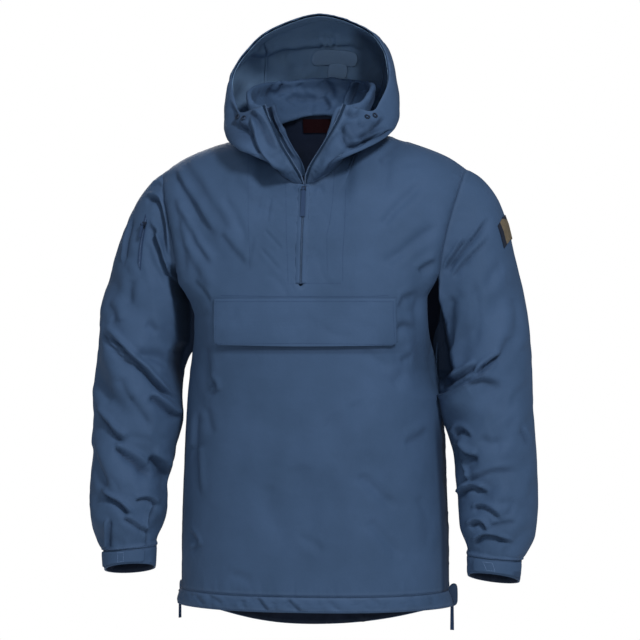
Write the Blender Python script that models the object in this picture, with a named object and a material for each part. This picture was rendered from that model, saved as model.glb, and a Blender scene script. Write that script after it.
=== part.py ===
"""Anorak pullover with a stand-up hood, filled out as if worn.

Frame: metres, +Z up, the front faces -Y, the wearer's left is +X. The origin is the
point between the shoulders where the wearer carries the garment.
Every cloth piece is a wall between an outer sheet of points and the same sheet moved in.
"""

import math

import bmesh
import bpy
import numpy as np
from mathutils import Matrix, Vector

MM = 0.001

# ---- driving dimensions (mm) ----
SHELL = 3.0            # insulated shell: face cloth, wadding and lining together
COLLAR_WALL = 8.0      # the collar is stuffed more than the shell
TAPE = 1.4             # zip tape, labels and tabs
TAPE_DEEP = 0.8        # how deep the tape lies below the face of the cloth
SEAM = 0.3             # gap between neighbouring pieces
LIFT = 0.4             # gap under what lies on a panel

BAND_TOP = -735.0      # height of the hem band's seam
FRONT_HEM = -760.0     # height of the front hem
TAIL_DROP = 51.0       # how far the back hem hangs below the front hem at its lowest
TAIL_SWAY = -32.0      # x of that lowest point
HEM_FLARE = 8.0        # how far the hem's lower corners stand out
ROLL_START = -165.0    # height where the chest starts to roll over to the shoulder

MIDDLE_WIDTH = 210.0   # columns near the middle run straight up at this half width
ARMPIT = -342.0
SHOULDER_TIP = (250.0, -52.0)    # x, z
NECK_SIDE = (88.0, 20.0)         # x, z where neckline and shoulder seam meet
NECK_FRONT = -79.0               # z at the middle of the front neckline
NECK_BACK = 45.0                 # z at the middle of the back neckline
ARMHOLE_FRONT = 88.0             # how far the armhole reaches forward
ARMHOLE_BACK = 82.0              # and back
NECK_FRONT_TURN = 24.0 # how far the chest has rolled over (degrees) at the front neckline
NECK_BACK_TURN = 50.0  # and the back at the back neckline

ZIP_GAP = 4.5          # half width of the slit for the front zip
ZIP_END = -240.0       # lower end of the front zip

SIDE_ZIP_TOP = -470.0
SIDE_ZIP_HALF = 5.0    # half width of the side zip's tape

# Torso: height, half width, depth of the front and of the back from the side seam
TORSO = [
    # z      half   front  back
    (-830.0, 222.0, 148.0, 138.0),
    (-735.0, 221.0, 150.0, 136.0),
    (-640.0, 220.0, 155.0, 132.0),
    (-540.0, 216.0, 160.0, 130.0),
    (-440.0, 211.0, 165.0, 134.0),
    (-340.0, 204.0, 168.0, 142.0),
    (-250.0, 210.0, 164.0, 148.0),
    (-165.0, 222.0, 152.0, 146.0),
    (-110.0, 236.0, 143.0, 138.0),
    (-52.0,  250.0, 134.0, 120.0),
]

# Shoulder seam from the neck to the tip: x, z
SHOULDER = [
    (88.0, 20.0),
    (125.0, 4.0),
    (177.0, -14.0),
    (218.0, -31.0),
    (250.0, -52.0),
]

# Sleeve, wearer's left: ends of each ring's long axis (outer x, z; inner x, z), the ring's
# place front to back, its half depth, and how far its outer end stands off to the left
SLEEVE = [
    # xo     zo      xi     zi      y      half  sway
    (274.0, -67.0,  209.0, -352.0, 1.0,   88.0, 2.0),
    (305.0, -112.0, 210.0, -366.0, -1.0,  88.0, 2.0),
    (331.0, -192.0, 210.0, -381.0, -4.0,  86.0, -2.0),
    (352.0, -280.0, 211.0, -399.0, -9.0,  83.0, -3.5),
    (361.0, -360.0, 213.0, -424.0, -15.0, 80.0, -4.0),
    (362.0, -430.0, 217.0, -460.0, -21.0, 77.0, -3.0),
    (365.0, -492.0, 227.0, -505.0, -28.0, 74.0, -1.0),
    (368.0, -550.0, 235.0, -550.0, -34.0, 71.0, -1.0),
    (368.0, -600.0, 239.0, -594.0, -41.0, 68.0, 0.0),
    (364.0, -642.0, 243.0, -632.0, -47.0, 63.0, 0.0),
    (355.0, -672.0, 251.0, -662.0, -52.0, 53.0, 0.0),
    (344.0, -681.0, 254.0, -672.0, -54.0, 46.0, 0.0),
]
RIGHT_ARM_RISE = 8.0   # the wearer's right cuff is higher than the left
CUFF_LENGTH = 33.0
ROUND_SLEEVE = 22      # columns round a sleeve
BADGE_ROWS = (0.222, 0.20, 0.181)    # along the sleeve, low edge first
CUFF_LEAN = 11.0       # the cuff's back edge hangs lower than its front edge

# Hood, wearer's left half: a row for each rib from the zip edge round to the centre back,
# with its points from the neck seam to the rim
HOOD = [
    # turn   level 1              level 2             level 3             level 4             rim
    (0.00, (17, -146, -52),   (34, -147, -24),   (49, -143, 4),     (61, -137, 27),    (69, -130, 46)),
    (0.15, (42, -150, -54),   (64, -162, -36),   (82, -154, -8),    (96, -134, 18),    (105, -112, 37)),
    (0.30, (73, -126, -28),   (108, -132, -20),  (123, -112, 8),    (122, -100, 34),   (118, -90, 55)),
    (0.45, (91, -84, 6),      (133, -80, 5),     (142, -66, 35),    (136, -66, 64),    (129, -66, 86)),
    (0.60, (101, -20, 38),    (139, -18, 43),    (139, -20, 78),    (135, -40, 104),   (128, -55, 113)),
    (0.75, (100, 46, 50),     (125, 60, 84),     (123, 46, 120),    (118, 6, 143),     (113, -44, 146)),
    (0.88, (62, 100, 64),     (82, 118, 106),    (84, 88, 152),     (82, 22, 177),     (78, -42, 179)),
    (1.00, (0, 122, 68),      (0, 138, 112),     (0, 104, 174),     (0, 30, 203),      (0, -42, 203)),
]

# How far the hood stands off to the wearer's left: z, x
HOOD_LEAN = [(-20.0, 0.0), (20.0, 2.0), (60.0, 0.0), (110.0, 1.0), (150.0, 7.0), (200.0, 13.0)]

# Collar, wearer's left half, the same way
COLLAR = [
    # turn   level 1              level 2             top edge
    (0.00, (20, -133, -46),   (36, -131, -8),    (50, -122, 40)),
    (0.20, (46, -117, -36),   (74, -119, 4),     (86, -104, 50)),
    (0.40, (73, -81, -4),     (95, -82, 34),     (103, -70, 70)),
    (0.60, (87, -14, 46),     (100, -12, 66),    (100, -6, 90)),
    (0.80, (72, 63, 62),      (78, 70, 82),      (73, 66, 102)),
    (1.00, (0, 91, 66),       (0, 98, 90),       (0, 93, 110)),
]

# Largest folds: the line's two ends (x, z), half width and depth (minus is a trough)
FRONT_FOLDS = [
    # x0     z0      x1     z1     half   depth
    (-200, -80,  -178, -150, 18, -10),
    (-178, -150, -112, -215, 20, -10),
    (-205, -150, -165, -225, 18, -8),
    (205, -130, 186, -250, 18, -10),
    (196, -265, 150, -350, 20, -10),
    (-186, -320, -176, -460, 20, -8),
    (172, -210, 182, -420, 22, 5),
    (-60, -650, 60, -560, 34, -7),
    (120, -540, 170, -690, 26, -6),
]
BACK_FOLDS = [
    (-198, -90, -150, -170, 20, -9),
    (-150, -170, -96, -225, 20, -9),
    (196, -92, 146, -180, 20, -10),
    (196, -280, 150, -370, 20, -10),
    (-196, -300, -160, -390, 20, -10),
    (-90, -570, 40, -500, 34, -8),
    (60, -650, 150, -580, 30, -7),
]
# Sleeve folds: along the sleeve (0 shoulder to 1 cuff) and round it (degrees, 0 outer side,
# 90 front), half width in mm and depth
RIGHT_SLEEVE_FOLDS = [
    # s0    turn0   s1    turn1  half  depth
    (0.40, 15,  0.60, 125, 15, -11),
    (0.37, 45,  0.52, 120, 14, 5),
    (0.60, 100, 0.70, 168, 15, -9),
    (0.66, 10,  0.74, 85,  14, -8),
    (0.77, 100, 0.86, 165, 14, -7),
    (0.82, 10,  0.90, 85,  14, -7),
    (0.12, 150, 0.30, 118, 15, -9),
    (0.44, 200, 0.58, 290, 15, -8),
    (0.70, 200, 0.80, 320, 15, -7),
    (0.20, 230, 0.34, 300, 15, -7),
]
LEFT_SLEEVE_FOLDS = [
    (0.52, 160, 0.42, 50, 15, -10),
    (0.46, 140, 0.36, 70, 14, 5),
    (0.60, 165, 0.70, 105, 15, -9),
    (0.73, 160, 0.78, 75, 14, -7),
    (0.82, 25,  0.87, 115, 14, -7),
    (0.10, 145, 0.30, 112, 15, -9),
    (0.48, 210, 0.60, 300, 15, -8),
    (0.70, 220, 0.78, 330, 15, -7),
    (0.18, 240, 0.32, 310, 15, -7),
]

COLOURS = {
    # finish      red    green  blue   roughness
    "shell":     (0.045, 0.085, 0.165, 0.75),
    "lining":    (0.030, 0.050, 0.100, 0.80),
    "zip":       (0.012, 0.018, 0.030, 0.60),
    "metal":     (0.020, 0.024, 0.030, 0.40),
    "badge":     (0.150, 0.110, 0.060, 0.80),
    "label":     (0.120, 0.020, 0.022, 0.80),
}


# ---- curves and sheets ----
def spline(knots, x):
    """Smooth value at x through rows of (x, value, ...), held past the ends."""
    if x <= knots[0][0]:
        return np.array(knots[0][1:], float)
    if x >= knots[-1][0]:
        return np.array(knots[-1][1:], float)
    i = next(k for k in range(len(knots) - 1) if x <= knots[k + 1][0])
    before, after = knots[max(i - 1, 0)], knots[min(i + 2, len(knots) - 1)]
    a, b = knots[i], knots[i + 1]
    va, vb = np.array(a[1:], float), np.array(b[1:], float)
    span = b[0] - a[0]
    t = (x - a[0]) / span
    slope_a = (vb - before[1:]) / (b[0] - before[0]) * span
    slope_b = (np.array(after[1:], float) - va) / (after[0] - a[0]) * span
    return ((2 * t**3 - 3 * t**2 + 1) * va + (t**3 - 2 * t**2 + t) * slope_a
            + (3 * t**2 - 2 * t**3) * vb + (t**3 - t**2) * slope_b)


def line_fold(folds, x, z):
    """How far the fold lines push a point of a panel out (mm)."""
    push = 0.0
    for x0, z0, x1, z1, half, depth in folds:
        along = Vector((x1 - x0, z1 - z0))
        t = max(0.0, min(1.0, (Vector((x - x0, z - z0)).dot(along)) / along.length_squared))
        gap = math.hypot(x - x0 - t * along.x, z - z0 - t * along.y)
        fade = math.sin(math.pi * min(1.0, 0.18 + 0.82 * t)) ** 0.5 if t < 1.0 else 0.0
        push += depth * fade * math.exp(-(gap / half) ** 2)
    return push


def normals(sheet, closed):
    """Outward unit normals of a sheet of points, whose rows run to the viewer's left going up."""
    rows, cols = len(sheet), len(sheet[0])
    out = []
    for r in range(rows):
        line = []
        for c in range(cols):
            up = sheet[min(r + 1, rows - 1)][c] - sheet[max(r - 1, 0)][c]
            if closed:
                across = sheet[r][(c + 1) % cols] - sheet[r][c - 1]
            else:
                across = sheet[r][min(c + 1, cols - 1)] - sheet[r][max(c - 1, 0)]
            line.append(across.cross(up).normalized())
        out.append(line)
    return out


def moved(sheet, distance, closed=False):
    """The sheet moved out along its normals (mm)."""
    return [[p + n * distance for p, n in zip(row, line)]
            for row, line in zip(sheet, normals(sheet, closed))]


def on_sheet(sheet, row, col, closed=False):
    """Point and outward normal on a sheet at fractional row and column."""
    rows, cols = len(sheet), len(sheet[0])
    r = min(int(row), rows - 2)
    c = int(col) % cols if closed else min(int(col), cols - 2)
    a, b = row - r, col - int(col) if closed else col - c
    corners = [sheet[r][c], sheet[r][(c + 1) % cols], sheet[r + 1][c], sheet[r + 1][(c + 1) % cols]]
    low = corners[0].lerp(corners[1], b)
    high = corners[2].lerp(corners[3], b)
    across = (corners[1] - corners[0]).lerp(corners[3] - corners[2], a)
    up = (corners[2] - corners[0]).lerp(corners[3] - corners[1], b)
    return low.lerp(high, a), across.cross(up).normalized()


def place_in(values, value):
    """Fractional index of a value in a rising list."""
    return float(np.interp(value, values, range(len(values))))


def overlay(name, spots, lift, wall, finish):
    """A piece lying on a panel: spots are rows of (point, normal), lift its inner gap by row."""
    sheet = [[p + n * (wall + lift[r]) for p, n in row] for r, row in enumerate(spots)]
    return cloth(name, sheet, wall, finish)


def material(name):
    made = bpy.data.materials.get(name)
    if made is None:
        red, green, blue, roughness = COLOURS[name]
        made = bpy.data.materials.new(name)
        made.use_nodes = True
        shader = made.node_tree.nodes["Principled BSDF"]
        shader.inputs["Base Color"].default_value = (red, green, blue, 1.0)
        shader.inputs["Roughness"].default_value = roughness
        shader.inputs["Metallic"].default_value = 1.0 if name == "metal" else 0.0
    return made


def add_object(name, bm, finish, smooth=True):
    """Turn millimetres to metres and put the mesh in the scene."""
    bmesh.ops.scale(bm, vec=(MM, MM, MM), verts=bm.verts)
    mesh = bpy.data.meshes.new(name)
    bm.to_mesh(mesh)
    bm.free()
    mesh.materials.append(material(finish))
    if smooth:
        mesh.shade_smooth()
    made = bpy.data.objects.new(name, mesh)
    bpy.context.scene.collection.objects.link(made)
    return made


def cloth(name, outer, wall, finish, closed=False, keep=None, hold=None):
    """A closed wall between a sheet and the same sheet moved in.

    keep drops cells of the grid, and hold keeps the inner points on their side of a seam.
    """
    inner = moved(outer, -wall, closed)
    if hold:
        inner = [[hold(p, q) for p, q in zip(a, b)] for a, b in zip(outer, inner)]
    rows, cols = len(outer), len(outer[0])
    bm = bmesh.new()
    made = {}

    def vertex(side, r, c):
        key = (side, r, c % cols if closed else c)
        if key not in made:
            made[key] = bm.verts.new((outer, inner)[side][key[1]][key[2]])
        return made[key]

    last = cols if closed else cols - 1
    cells = {(r, c) for r in range(rows - 1) for c in range(last) if keep is None or keep(r, c)}
    for r, c in sorted(cells):
        ring = [(r, c), (r, c + 1), (r + 1, c + 1), (r + 1, c)]
        bm.faces.new([vertex(0, *k) for k in ring])
        bm.faces.new([vertex(1, *k) for k in reversed(ring)])
        neighbours = [(r - 1, c), (r, c + 1), (r + 1, c), (r, c - 1)]
        for k, (nr, nc) in enumerate(neighbours):
            if closed:
                nc %= cols
            if (nr, nc) not in cells:
                a, b = ring[k], ring[(k + 1) % 4]
                bm.faces.new([vertex(0, *b), vertex(0, *a), vertex(1, *a), vertex(1, *b)])
    return add_object(name, bm, finish)


def steps(start, end, count):
    return [start + (end - start) * k / count for k in range(count + 1)]


# ---- torso ----
def tail(x):
    """Height of the back hem at x."""
    corner = TORSO[0][1]
    share = min(1.0, abs(x - TAIL_SWAY * (1 - abs(x) / corner)) / corner)
    return FRONT_HEM - TAIL_DROP * (1.0 - share**2.3)


def armhole(z, reach):
    """How far the armhole's edge stands in front of (or behind) the side seam at z."""
    middle = (ARMPIT + SHOULDER_TIP[1]) / 2
    half = (SHOULDER_TIP[1] - ARMPIT) / 2
    share = (z - middle) / half
    return reach * math.sqrt(max(0.0, 1.0 - share * share))


def side_gap(z):
    """Half the gap between front and back at the side: wide at the side zip, a seam above it."""
    share = max(0.0, min(1.0, (z - SIDE_ZIP_TOP) / 12.0))
    return (SIDE_ZIP_HALF + SEAM) * (1 - share) + SEAM / 2 * share


def neck_height(x, back):
    share = min(1.0, abs(x) / NECK_SIDE[0])
    if back:
        return NECK_BACK + (NECK_SIDE[1] - NECK_BACK) * share**2.2
    return NECK_FRONT + (NECK_SIDE[1] - NECK_FRONT) * share**2.3


def panel_x(u, half):
    """How far from the middle a column is in a row of this half width."""
    return MIDDLE_WIDTH * u + (half - MIDDLE_WIDTH) * u**3


def neck_column():
    """The column that ends where the neckline meets the shoulder seam."""
    u = 0.0
    for _ in range(20):
        u = (NECK_SIDE[0] - (SHOULDER_TIP[0] - MIDDLE_WIDTH) * u**3) / MIDDLE_WIDTH
    return u


def torso_point(u, v, back):
    """Point of the front or back at u (-1 to 1 across) and v.

    v runs from 0 at the hem band's seam to 1 at the roll's start, and on to 2 at the top.
    """
    reach = ARMHOLE_BACK if back else ARMHOLE_FRONT
    turn = 0.0
    if v <= 1.0:
        z = edge_z = BAND_TOP + (ROLL_START - BAND_TOP) * v
    else:
        x_top = panel_x(abs(u), SHOULDER_TIP[0])
        stop, top = math.pi / 2, None
        if x_top < NECK_SIDE[0]:
            middle = NECK_BACK_TURN if back else NECK_FRONT_TURN
            stop = math.radians(90.0 - (90.0 - middle) * (1.0 - (x_top / NECK_SIDE[0]) ** 2.6))
            top = neck_height(x_top, back)
        else:
            top = spline(SHOULDER, x_top)[0]
        turn = stop * (v - 1.0)
        z = ROLL_START + (top - ROLL_START) * math.sin(turn) / math.sin(stop)
        edge_z = ROLL_START + (SHOULDER_TIP[1] - ROLL_START) * math.sin(math.pi / 2 * (v - 1.0))
    row = spline(TORSO, edge_z)
    half, depth = row[0], row[2 if back else 1]
    x = math.copysign(panel_x(abs(u), half), u)
    edge = armhole(edge_z, reach) if edge_z > ARMPIT else 0.0
    section = (1.0 - min(1.0, abs(u)) ** 2.5) ** (1 / 2.1)
    y = edge + (depth * max(0.0, math.cos(turn)) ** 0.9 - edge) * section
    y = max(y, side_gap(z) if v <= 1.0 else SEAM / 2)
    return Vector((x, y if back else -y, z))


def across(slit):
    """Places across a panel: five inside the neck, eight to the side, and two beside the slit."""
    neck = neck_column()
    half = steps(0.0, neck, 5)[1:]
    half += [neck + (1 - neck) * math.sin(math.pi / 2 * k / 8) ** 0.97 for k in range(1, 9)]
    zip_column = ZIP_GAP / MIDDLE_WIDTH
    middle = [-zip_column, zip_column] if slit else [0.0]
    return [-h for h in reversed(half)] + middle + half


def panel_levels():
    """Heights of a panel's rows, as v of torso_point, with one at the zip's lower end."""
    slit = (ZIP_END - BAND_TOP) / (ROLL_START - BAND_TOP)
    return steps(0.0, slit, 15)[:-1] + steps(slit, 1.0, 3)[:-1] + steps(1.0, 2.0, 8)


def panel(back):
    """Rows of points of the front or back body, from the band's seam up to neck and shoulders."""
    levels = panel_levels()
    places = across(slit=not back)
    folds = BACK_FOLDS if back else FRONT_FOLDS
    sheet = []
    for v in levels:
        row = [torso_point(u, v, back) for u in places]
        sheet.append(row)
    out = normals(sheet, closed=False)
    for r, row in enumerate(sheet):
        for c, p in enumerate(row):
            inside = min(1.0, (1 - abs(places[c])) * 5, (len(sheet) - 1 - r) / 3, r / 2)
            row[c] = p + out[r][c] * (-1 if back else 1) * inside * line_fold(folds, p.x, p.z)
    if back:
        sheet = [list(reversed(row)) for row in sheet]
    return sheet


def on_panel(sheet, x, z):
    """Point and normal of the front or back sheet at x and z."""
    back = sheet[0][0].y > 0
    places = across(slit=not back)
    half = spline(TORSO, z)[0]
    reached = [panel_x(u, half) if u > 0 else -panel_x(-u, half) for u in places]
    col = place_in(reached, x)
    if back:
        col = len(places) - 1 - col
    c = min(int(col), len(places) - 2)
    column = [row[c].lerp(row[c + 1], col - c).z for row in sheet]
    return on_sheet(sheet, place_in(column, z), col)


def hold_panel(outer, inner):
    """Keep a panel's inner points inside its side, shoulder and armhole seams."""
    gap = side_gap(outer.z)
    if outer.y < 0:
        y = min(inner.y, -gap)
    else:
        y = max(inner.y, gap)
    x = math.copysign(min(abs(inner.x), abs(outer.x)), outer.x)
    return Vector((x, y, inner.z))


def build_torso():
    front = panel(back=False)
    middle = len(front[0]) // 2 - 1

    def beside_zip(r, c):
        return c != middle or front[r + 1][c].z < ZIP_END + 6.0
    cloth("front", front, SHELL, "shell", keep=beside_zip, hold=hold_panel)
    cloth("back", panel(back=True), SHELL, "shell", hold=hold_panel)
    for name, back in (("hem_front", False), ("hem_back", True)):
        places = across(slit=False)
        sheet = []
        for k in range(4):
            row = []
            for u in places:
                top = torso_point(u, 0.0, back)
                low = tail(top.x) if back else FRONT_HEM
                z = BAND_TOP - SEAM + (low - BAND_TOP + SEAM) * k / 3
                bulge = 1.0 + 0.006 * math.sin(math.pi * k / 3)
                flare = HEM_FLARE * k / 3 * abs(u) ** 8
                row.append(Vector((top.x * bulge + math.copysign(flare, u), top.y * bulge, z)))
            sheet.append(row)
        sheet.reverse()
        if back:
            sheet = [list(reversed(row)) for row in sheet]
        cloth(name, sheet, SHELL + 1.0, "shell", hold=hold_panel)


# ---- sleeves ----
def armhole_ring(turn, side):
    """Point of the armhole at turn (0 top, 90 front, 180 armpit, 270 back), with the seam's gap."""
    middle = (ARMPIT + SHOULDER_TIP[1]) / 2
    half = (SHOULDER_TIP[1] - ARMPIT) / 2
    z = middle + half * math.cos(turn)
    reach = ARMHOLE_FRONT if math.sin(turn) > 0 else ARMHOLE_BACK
    x = spline(TORSO, z)[0] + SEAM
    return Vector((side * x, -reach * math.sin(turn), z))


def sleeve_point(s, turn, side):
    """Outer point of a sleeve at s (0 armhole to 1 cuff seam) and turn round it."""
    start = armhole_ring(turn, side)
    rows = [(0.0, start.x, start.y, start.z)]
    for k, (xo, zo, xi, zi, y, half, sway) in enumerate(SLEEVE, start=1):
        rise = RIGHT_ARM_RISE * (k / len(SLEEVE)) ** 2 if side < 0 else 0.0
        outer, inner = Vector((side * xo + sway, y, zo)), Vector((side * xi, y, zi))
        centre, arm = (outer + inner) / 2 + Vector((0, 0, rise)), (outer - inner) / 2
        p = centre + arm * math.cos(turn) + Vector((0, -half * math.sin(turn), 0))
        rows.append((k / len(SLEEVE), p.x, p.y, p.z))
    return Vector(spline(rows, s))


def sleeve_fold(folds, s, turn):
    push = 0.0
    length, girth = 640.0, 460.0
    degrees = math.degrees(turn) % 360
    for s0, t0, s1, t1, half, depth in folds:
        along = Vector(((s1 - s0) * length, (t1 - t0) / 360 * girth))
        here = Vector(((s - s0) * length, (degrees - t0) / 360 * girth))
        t = max(0.0, min(1.0, here.dot(along) / along.length_squared))
        gap = (here - t * along).length
        push += depth * math.exp(-(gap / half) ** 2)
    return push


def sleeve_sheet(side, rows=20, cols=ROUND_SLEEVE):
    folds = LEFT_SLEEVE_FOLDS if side > 0 else RIGHT_SLEEVE_FOLDS
    turns = [2 * math.pi * k / cols for k in range(cols)]
    sheet = [[sleeve_point(s, t, side) for t in turns] for s in steps(1.0, 0.0, rows)]
    if side > 0:
        sheet = [[row[0]] + list(reversed(row[1:])) for row in sheet]
        turns = [turns[0]] + list(reversed(turns[1:]))
    out = normals(sheet, closed=True)
    for r, row in enumerate(sheet):
        s = 1 - r / rows
        for c, p in enumerate(row):
            ease = min(1.0, s * 8, (1 - s) * 8)
            row[c] = p + out[r][c] * ease * sleeve_fold(folds, s, turns[c])
    return sheet


def cuff_sheet(side, rows=2):
    """The cuff band: straight on from the sleeve's end, its back edge lower than its front."""
    turns = [2 * math.pi * k / ROUND_SLEEVE for k in range(ROUND_SLEEVE)]
    sheet = []
    end = [sleeve_point(1.0, t, side) for t in turns]
    before = [sleeve_point(0.7, t, side) for t in turns]
    centre = sum(end, Vector()) / ROUND_SLEEVE
    way = (centre - sum(before, Vector()) / ROUND_SLEEVE).normalized()
    for k in range(rows + 1):
        share = k / rows
        row = []
        for t, p in zip(turns, end):
            lean = -CUFF_LEAN * math.sin(t) * share
            out = (p - centre).normalized()
            down = SEAM + 0.2 + (CUFF_LENGTH + lean) * share
            row.append(p + way * down - out * (1.0 + 1.5 * share))
        sheet.append(row)
    sheet.reverse()
    if side > 0:
        sheet = [[row[0]] + list(reversed(row[1:])) for row in sheet]
    return sheet


def hold_sleeve(outer, inner):
    """Keep a sleeve's inner points outside the armhole seam."""
    if outer.z > ARMPIT - 2.0 and abs(outer.x) < spline(TORSO, outer.z)[0] + 2 * SEAM:
        return Vector((math.copysign(max(abs(inner.x), abs(outer.x)), outer.x), inner.y, inner.z))
    return inner


def build_sleeves():
    for word, side in (("left", 1), ("right", -1)):
        cloth("sleeve_" + word, sleeve_sheet(side), SHELL, "shell", closed=True, hold=hold_sleeve)
        cloth("cuff_" + word, cuff_sheet(side), SHELL, "shell", closed=True)


# ---- collar and hood ----
def neck_line():
    """The neckline of the wearer's left half, as (turn, point) at the panels' own columns."""
    side = neck_column()
    front = [u for u in across(slit=True) if 0 < u <= side + 1e-6]
    back = [u for u in across(slit=False) if 0 <= u < side - 1e-6]
    line = [(0.6 * k / (len(front) - 1), torso_point(u, 2.0, False)) for k, u in enumerate(front)]
    line += [(0.6 + 0.4 * (k + 1) / len(back), torso_point(u, 2.0, True))
             for k, u in enumerate(reversed(back))]
    return line


NECK_LINE = neck_line()


def neck_point(q, inset):
    """Point just above the neckline at turn q (0 front middle to 1 back middle), moved in by inset."""
    q = min(max(q, 0.0), 1.0)
    k = next(k for k in range(len(NECK_LINE) - 1) if q <= NECK_LINE[k + 1][0] + 1e-9)
    (qa, a), (qb, b) = NECK_LINE[k], NECK_LINE[k + 1]
    p = a.lerp(b, (q - qa) / (qb - qa))
    inward = (Vector((0, -25, p.z)) - p).normalized()
    return p + inward * inset + Vector((0, 0, SEAM))


def lean(z):
    """How far the hood sways to the wearer's left at a height, mostly at its top."""
    return float(spline(HOOD_LEAN, z)[0])


def rib_point(table, q, t, side, inset):
    """Point on the rib at q, t from 0 at the neck seam to 1 at the free edge."""
    levels = len(table[0]) - 1
    foot = neck_point(q, inset)
    rows = [(0.0, *foot)]
    for k in range(levels):
        half = [(row[0], *row[k + 1]) for row in table]
        x, y, z = table[-2][k + 1]
        p = spline(half + [(2.0 - table[-2][0], -x, y, z)], q)
        rows.append(((k + 1) / levels, *p))
    x, y, z = spline(rows, t)
    return Vector((side * x + lean(z) * min(1.0, max(0.0, 3 * t - 0.5)), y, z))


def neck_places(start, end):
    """Turns from start to end round the neck, on the panels' own columns and halfway between."""
    turns = steps(0.0, 0.6, 10) + steps(0.6, 1.0, 10)[1:]
    return [start] + [q for q in turns if start + 0.01 < q < end - 0.01] + [end]


def neck_sheet(table, inset, places, levels):
    """Sheet round the neck. places run from 0 at the zip on the wearer's left, over 1 at the
    back, to 2 at the zip on the wearer's right; levels from 0 at the neck seam to 1 at the edge."""
    return [[rib_point(table, min(q, 2.0 - q), t, 1 if q < 1.0 else -1, inset) for q in places]
            for t in levels]


def both_sides(turns):
    """The same places round the neck on both sides of the back middle."""
    return turns + [2.0 - q for q in reversed(turns[:-1])]


def hold_neck(outer, inner):
    """Keep the inner points of what is sewn to the neckline above the seam."""
    return Vector((inner.x, inner.y, max(inner.z, outer.z))) if outer.z < 46.0 else inner


HOOD_SEAM = 0.16       # where the hood's centre panel meets its side panels
SEAM_TURN = 0.002      # half the gap of that seam, as a turn


def build_upper_zip(rise):
    """The zip's tape above the slider: a strip along each front edge of the hood."""
    for word, side in (("left", 1), ("right", -1)):
        sheet = []
        for t in rise:
            edge = rib_point(HOOD, 0.0, t, side, 0.0)
            beside = rib_point(HOOD, 0.03, t, side, 0.0)
            before = rib_point(HOOD, 0.0, max(0.0, t - 0.05), side, 0.0)
            after = rib_point(HOOD, 0.0, min(1.0, t + 0.05), side, 0.0)
            way = (edge - beside).normalized()
            out = (beside - edge).cross(after - before).normalized() * side
            start = edge - out * TAPE_DEEP + way * 2 * SEAM
            width = min(6.0, abs(start.x) - 1.0)
            row = [start, start + way * width]
            sheet.append(row[::-1] if side > 0 else row)
        cloth("zip_tape_" + word, sheet, TAPE, "zip")


def build_neck():
    rise = steps(0.0, 1.0, 11)
    build_upper_zip(rise)
    side = neck_places(0.0, 1.0 - HOOD_SEAM - SEAM_TURN)
    centre = neck_places(1.0 - HOOD_SEAM + SEAM_TURN, 1.0)
    cloth("hood_left", neck_sheet(HOOD, 0.0, side, rise), SHELL, "shell", hold=hold_neck)
    cloth("hood_centre", neck_sheet(HOOD, 0.0, both_sides(centre), rise), SHELL, "shell", hold=hold_neck)
    right = [2.0 - q for q in reversed(side)]
    cloth("hood_right", neck_sheet(HOOD, 0.0, right, rise), SHELL, "shell", hold=hold_neck)
    round_neck = both_sides(neck_places(0.0, 1.0))
    cloth("collar", neck_sheet(COLLAR, SHELL + 3.2, round_neck, steps(0.0, 1.0, 6)), COLLAR_WALL,
          "shell", hold=hold_neck)


# ---- what lies on the front ----
SLIDER_HEIGHT = -88.0
FLAP = {"left": -141.0, "right": 149.0, "top": -262.0, "bottom": -335.0, "corner": 9.0,
        "wall": 2.4, "sag": 3.0, "stand": 3.5}   # sag and stand: its lower edge, down and out
FLAP_ROWS = (0.0, 0.06, 0.14, 0.4, 0.7, 1.0)      # share of its height
FLAP_COLUMNS = 16
LABEL_PLACES = (16.0, 0.0, -16.0, -32.0)          # x
LABEL_HEIGHTS = (20.0, 30.0, 42.0)                # z on the back, as if that were flat
LABEL_WALL = 1.0


def build_front_pieces(front):
    """The half zip's tape in its slit and the flap of the chest pocket."""
    rows = steps(ZIP_END + 2 * SEAM, NECK_FRONT - 2.0, 8)
    tape = [[on_panel(front, x, z) for x in (SEAM - ZIP_GAP, 0.0, ZIP_GAP - SEAM)] for z in rows]
    overlay("zip_tape", tape, [-TAPE - TAPE_DEEP] * len(rows), TAPE, "zip")
    spot, out = on_panel(front, 0.0, SLIDER_HEIGHT)
    place = frame_at(spot - out * TAPE_DEEP, out, Vector((0, 0, 1)))
    slider_and_pull("zip", place, 46.0, 3.0)

    flap = []
    for h in FLAP_ROWS:
        z = FLAP["bottom"] + (FLAP["top"] - FLAP["bottom"]) * h
        up = min(1.0, (z - FLAP["bottom"]) / FLAP["corner"])
        cut = FLAP["corner"] * (1 - math.sqrt(1 - (1 - up) ** 2))
        width = FLAP["right"] - FLAP["left"] - 2 * cut
        row = []
        for share in steps(0.0, 1.0, FLAP_COLUMNS):
            low = FLAP["sag"] * (1 - h) * math.sin(math.pi * share)
            row.append(on_panel(front, FLAP["left"] + cut + width * share, z - low))
        flap.append(row)
    lift = [2 * LIFT + FLAP["stand"] * (1 - h) for h in FLAP_ROWS]
    overlay("pocket_flap", flap, lift, FLAP["wall"], "shell")


def build_label(back):
    """The plain neck label, sewn under the collar inside the back."""
    spots = [[on_panel(back, x, z) for x in LABEL_PLACES] for z in LABEL_HEIGHTS]
    lift = [-SHELL - LIFT - LABEL_WALL] * len(spots)
    overlay("neck_label", spots, lift, LABEL_WALL, "label")


# ---- hardware: sliders and pulls ----
PIN_OUT = 5.6          # how far the slider's pin stands off the tape
PIN_RADIUS = 0.8
PULL_THICK = 1.8


def frame_at(point, out, up):
    """Place and turn of a fitting: its -Y points out of the cloth and its Z up along the zip."""
    up = (up - out * up.dot(out)).normalized()
    across = up.cross(out)
    turn = Matrix((across, -out, up)).transposed().to_4x4()
    return Matrix.Translation(point) @ turn


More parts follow.
